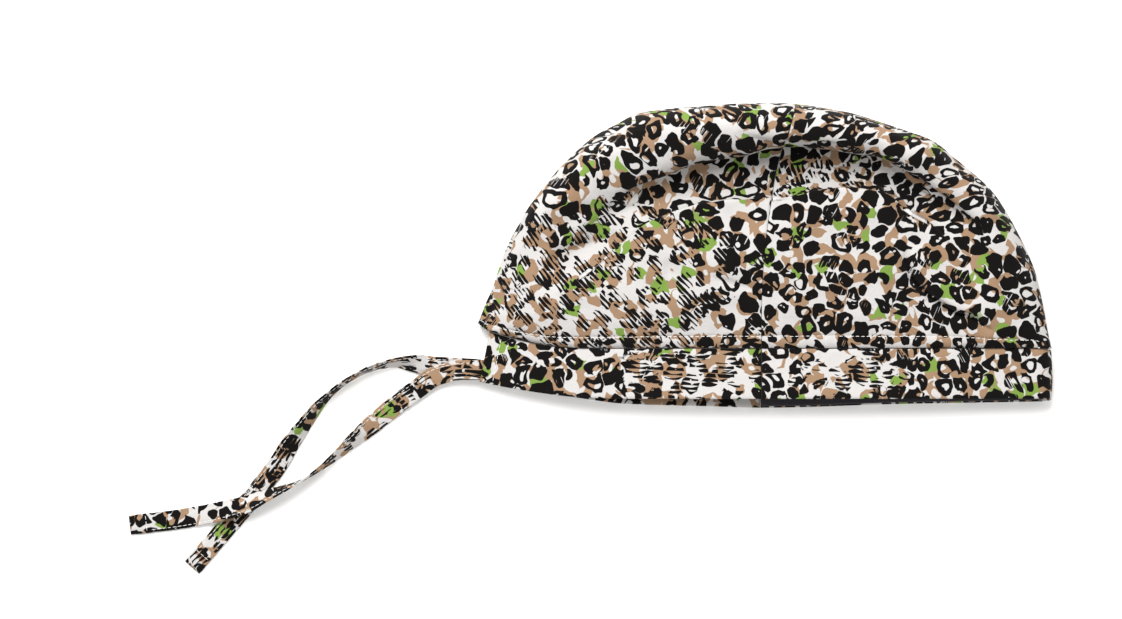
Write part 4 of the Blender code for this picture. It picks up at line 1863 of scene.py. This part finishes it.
@dataclass
class BandStrip:
    """A strip of the band: doubled cloth with a folded mouth edge and turned-in ends.

    Attributes:
        plan: The cap's sizes.
        name: Name of the piece.
        node: CAD node that it stands for.
        look: Its material.
        slot: The record's material slot; not used.
        flat: Width and length of the cut in mm; not used.
        thickness: Thickness of the doubled cloth in mm.
        depth: Depth of its outer face under the band's outer face in mm.
        reach: Shares of the band's width where it starts and ends.
        puff: How far its middle swells out in mm.
        lines: Lines of its stitching, known once it is built.
    """

    plan: CapPlan
    name: str
    node: str
    look: bpy.types.Material
    flat: tuple[float, float]
    slot: str = COTTON_SLOT
    thickness: float = 1.8
    depth: float = 0.0
    reach: tuple[float, float] = (0.006, 1.0)
    puff: float = 0.3
    lines: list = field(default_factory=list)

    def shares(self) -> np.ndarray:
        """Gives the rows' shares of the band's width, closer together at both edges."""
        t = 0.5 * (1 - np.cos(np.linspace(0, math.pi, 31)))
        return self.reach[0] + t * (self.reach[1] - self.reach[0])

    def face(self, x: np.ndarray, across: np.ndarray, near: bool, inset: float) -> np.ndarray:
        """Gives points set in from the band's outer face.

        Args:
            x: Places along the band in mm, columns by rows.
            across: Shares of the band's width, columns by rows.
            near: Whether it is the near wall.
            inset: How far inside the outer face, in mm.

        Returns:
            Points, columns by rows.
        """
        plan = self.plan
        y = plan.seam_line(x) + across * (plan.mouth_line(x) - plan.seam_line(x))
        if near:
            z = plan.near_height(x) + plan.lift(x) * across ** 2 - inset
        else:
            y = y - plan.slip(x)
            z = np.full(x.shape, inset)
        return np.dstack([x, y, z])

    def turn(self, share: np.ndarray, across: np.ndarray, inset: float) -> np.ndarray:
        """Gives the points of the bend round the forehead."""
        x = np.full((len(share), len(across)), self.plan.forehead_turn)
        over = np.broadcast_to(across[None, :], x.shape)
        near, far = self.face(x, over, True, inset), self.face(x, over, False, inset)
        angle = math.pi * share[:, None]
        points = near + (far - near) * ((1 - np.cos(angle)) / 2)[..., None]
        points[..., 0] += (near[..., 2] - far[..., 2]) / 2 * np.sin(angle)
        return points

    def middle_grid(self) -> np.ndarray:
        """Gives the strip's middle surface; each kind of strip has its own."""
        raise NotImplementedError

    def sway(self, points: np.ndarray) -> np.ndarray:
        """Gives the band's slight waves, the same for all of its layers, in mm."""
        x, y, z = points[..., 0], points[..., 1], points[..., 2]
        near = np.clip((z - 4.0) / 4.0, 0, 1)
        waves = 0.32 * SmoothNoise(21, 30.0).at(x, y) + 0.12 * SmoothNoise(22, 10.0).at(x, y)
        return waves * near

    def build(self) -> bpy.types.Object:
        """Makes the strip as a closed, rounded band of cloth.

        Returns:
            The piece.
        """
        base = self.middle_grid()
        outward = grid_normals(base)
        share = np.linspace(0, 1, base.shape[1])
        t = 0.5 * (1 - np.cos(math.pi * share))
        length = run_lengths(base[:, len(share) // 2])
        to_end = np.minimum(length, length[-1] - length)
        pinch = np.sqrt(np.clip(1 - (1 - np.clip(to_end / 0.9, 0, 1)) ** 2, 0, 1))[:, None]
        edge = np.sqrt(np.clip(1 - np.abs(2 * t - 1) ** 16, 0, 1))[None, :]
        half = self.thickness / 2 * pinch * edge
        puff = self.puff * np.sin(math.pi * t)[None, :]
        base = base + outward * (self.sway(base) * np.minimum(1, to_end / 6)[:, None])[..., None]
        upper = base + outward * (half + puff * pinch)[..., None]
        lower = base - outward * half[..., None]
        points = np.concatenate([upper, lower[:, ::-1][:, 1:-1]], axis=1)
        points[..., 2] = np.maximum(points[..., 2], 0.0)
        width = self.plan.band_width * (self.reach[1] - self.reach[0])
        spans = np.concatenate([t * width, (1 + t)[1:] * width])
        flat = np.stack(np.broadcast_arrays(self.printed_along(base), spans[None, :]), axis=-1)
        self.upper, self.outward = upper, outward
        return cloth_object(self.name, points, flat, [self.look], closed=True)

    def printed_along(self, base: np.ndarray) -> np.ndarray:
        """Gives the flat-cloth place of each column in mm."""
        way = np.sign(base[-1, 0, 0] - base[0, 0, 0])
        return (base[0, 0, 0] + run_lengths(base[:, 0]) * way)[:, None]

    def dress(self, with_pieces: list) -> bpy.types.Object:
        """Args:
            with_pieces: Separate pieces on it; not used.

        Returns:
            The piece.
        """
        piece = self.build()
        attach(piece, BODY)
        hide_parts(self.node)
        report_piece(piece)
        return piece


@dataclass
class RearBand(BandStrip):
    """The rear band on one wall, up to its hemmed end at the centre back.

    Attributes:
        near: Whether it is the near wall.
        hem: Distance of the hem stitching from the band's end in mm.
    """

    near: bool = True
    hem: float = 7.6

    def middle_grid(self) -> np.ndarray:
        """Gives the middle surface from the side seam to the slanted end."""
        plan = self.plan
        across = np.broadcast_to(self.shares()[None, :], (116, 31))
        side = plan.side_seam_x - plan.sewn_gap / 2
        end = plan.back_seam_x + across * (plan.band_end_x - plan.back_seam_x)
        even = np.linspace(0, 1, 110)
        # Columns lie closer together at both ends, where the strip is pinched
        ends = [0.002, 0.004, 0.0065, 0.9935, 0.996, 0.998]
        share = np.unique(np.concatenate([even, ends]))
        x = side + share[:, None] * (end - side)
        grid = self.face(x, across, self.near, self.depth + self.thickness / 2)
        # Columns run to -X on the near wall and to +X on the resting one, so that both face out
        return grid if self.near else grid[::-1]

    def build(self) -> bpy.types.Object:
        """Makes the strip and finds its hem line."""
        piece = super().build()
        middle_row = 15
        lengths = run_lengths(self.upper[:, middle_row])
        at = lengths[-1] - self.hem if self.near else self.hem
        index = int(np.argmin(abs(lengths - at)))
        # The stitching stays off both edges
        rows = slice(3, 28)
        self.lines = [(self.upper[index, rows], self.outward[index, rows])]
        return piece


@dataclass
class FrontBand(BandStrip):
    """A strip that goes round the forehead, from side seam to side seam."""

    def middle_grid(self) -> np.ndarray:
        """Gives the middle surface on the resting wall, round the forehead and back above it."""
        plan = self.plan
        across = self.shares()
        inset = self.depth + self.thickness / 2
        side = plan.side_seam_x + plan.sewn_gap / 2
        even = np.linspace(0, 1, 112)
        # Columns lie closer together at the strip's ends, where it is pinched
        ends = [0.002, 0.004, 0.0065]
        share = np.unique(np.concatenate([even, ends]))
        x = np.broadcast_to(
            (side + share * (plan.forehead_turn - side))[:, None], (len(share), len(across))
        )
        over = np.broadcast_to(across[None, :], x.shape)
        near = self.face(x, over, True, inset)
        bend = self.turn(np.linspace(0, 1, 23)[1:-1], across, inset)
        far = self.face(x, over, False, inset)[::-1]
        return np.concatenate([near, bend, far], axis=0)[::-1]

    def printed_along(self, base: np.ndarray) -> np.ndarray:
        """Gives the flat-cloth place of each column in mm, from the near side seam."""
        reach = run_lengths(base[:, 0])
        return (base[-1, 0, 0] + reach[-1] - reach)[:, None]


class ScrubCap:
    """The whole cap: crown panels, bands, sweatband and their stitches."""

    def __init__(self) -> None:
        """Sets the finishes and where on the cloth each piece is cut."""
        self.plan = CapPlan()
        self.back_cloth = LeopardPoplin(
            "woven_cotton_poplin_print_crown_back",
            (311.0, 95.0),
            (
                StreakZone((-70.0, 32.0), (52.0, 40.0), StreakLay.DIAGONAL),
                StreakZone((-112.0, 30.0), (30.0, 40.0), StreakLay.DIAGONAL),
            ),
            cell=10.2,
        )
        self.front_cloth = LeopardPoplin(
            "woven_cotton_poplin_print_crown_front",
            (127.0, 240.0),
            (StreakZone((20.0, 96.0), (30.0, 12.0), StreakLay.STEEP),),
        )
        self.rear_band_cloth = LeopardPoplin(
            "woven_cotton_poplin_print_band_back",
            (60.0, 410.0),
            (StreakZone((-36.0, 12.0), (32.0, 13.0), StreakLay.LEVEL),),
        )
        self.front_band_cloth = LeopardPoplin(
            "woven_cotton_poplin_print_band_front",
            (505.0, 133.0),
            (StreakZone((42.0, 12.0), (28.0, 12.0), StreakLay.LEVEL),),
        )

    def ties(self) -> list:
        """Gives the two ties."""
        return [
            FlatTie(
                "tie_upper_cloth",
                "tie_upper",
                UPPER_TIE,
                ((-142.0, -57.6, 6.5, 0), (-143.4, -57.8, 6.4, 0)),
                LeopardPoplin(
                    "woven_cotton_poplin_print_tie_upper",
                    (212.0, 33.0),
                    (
                        StreakZone((16.0, 5.0), (22.0, 9.0), StreakLay.LEVEL),
                        StreakZone((66.0, 5.0), (30.0, 9.0), StreakLay.LEVEL),
                    ),
                ),
                31,
            ),
            FlatTie(
                "tie_lower_cloth",
                "tie_lower",
                LOWER_TIE,
                ((-142.0, -57.7, 0.2, 0), (-143.4, -57.6, 0.2, 0)),
                LeopardPoplin(
                    "woven_cotton_poplin_print_tie_lower",
                    (77.0, 301.0),
                    (
                        StreakZone((44.0, 5.0), (30.0, 9.0), StreakLay.LEVEL),
                        StreakZone((165.0, 5.0), (45.0, 9.0), StreakLay.LEVEL),
                    ),
                ),
                41,
            ),
        ]

    def panels(self) -> list:
        """Gives the two crown panels, which meet at the ear-to-ear seam."""
        along = self.plan.side_seam_along
        gap = 0.0002
        return [
            CrownPanel(
                self.plan,
                "crown_back_cloth",
                "crown_back",
                0.0,
                along - gap,
                self.back_cloth,
                (280.0, 190.0),
                38000.0,
            ),
            CrownPanel(
                self.plan,
                "crown_front_cloth",
                "crown_front",
                along + gap,
                1.0,
                self.front_cloth,
                (280.0, 175.0),
                36000.0,
            ),
        ]

    def bands(self) -> list:
        """Gives the strips of the band and the sweatband."""
        rear = self.rear_band_cloth.make()
        front = self.front_band_cloth.make()
        knit = KnitSweatband().make()
        return [
            RearBand(self.plan, "band_back_upper_cloth", "band_back_upper", rear, (140.0, 25.5)),
            RearBand(
                self.plan,
                "band_back_lower_cloth",
                "band_back_lower",
                rear,
                (140.0, 25.5),
                near=False,
                puff=0.0,
            ),
            FrontBand(self.plan, "band_front_cloth", "band_front", front, (303.0, 25.5)),
            FrontBand(
                self.plan,
                "sweatband_knit",
                "sweatband",
                knit,
                (295.0, 22.6),
                slot=KNIT_SLOT,
                thickness=1.1,
                depth=2.35,
                reach=(0.08, 0.968),
                puff=0.0,
            ),
        ]

    def make(self) -> None:
        """Makes every piece of the cap; the ties come first, as their room is checked."""
        thread = SpunPolyesterThread().make()
        for tie in self.ties():
            tie.dress(thread)
        for panel in self.panels():
            panel.dress(thread)
        for strip in self.bands():
            piece = strip.dress([])
            if strip.lines:
                sewn = SewingThread().sew(f"{strip.node}_hem_stitching", strip.lines, thread)
                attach(sewn, BODY)
                report_piece(sewn)
            LOG.info("dressed %s", piece.name)


def main() -> None:
    """Loads the frame, then builds the studio and the cap."""
    logging.basicConfig(level=logging.INFO, format="%(message)s")
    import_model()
    studio = Studio()
    studio.place_camera()
    ScrubCap().make()
    studio.lay_floor()
    studio.light()


if __name__ == "__main__":
    main()
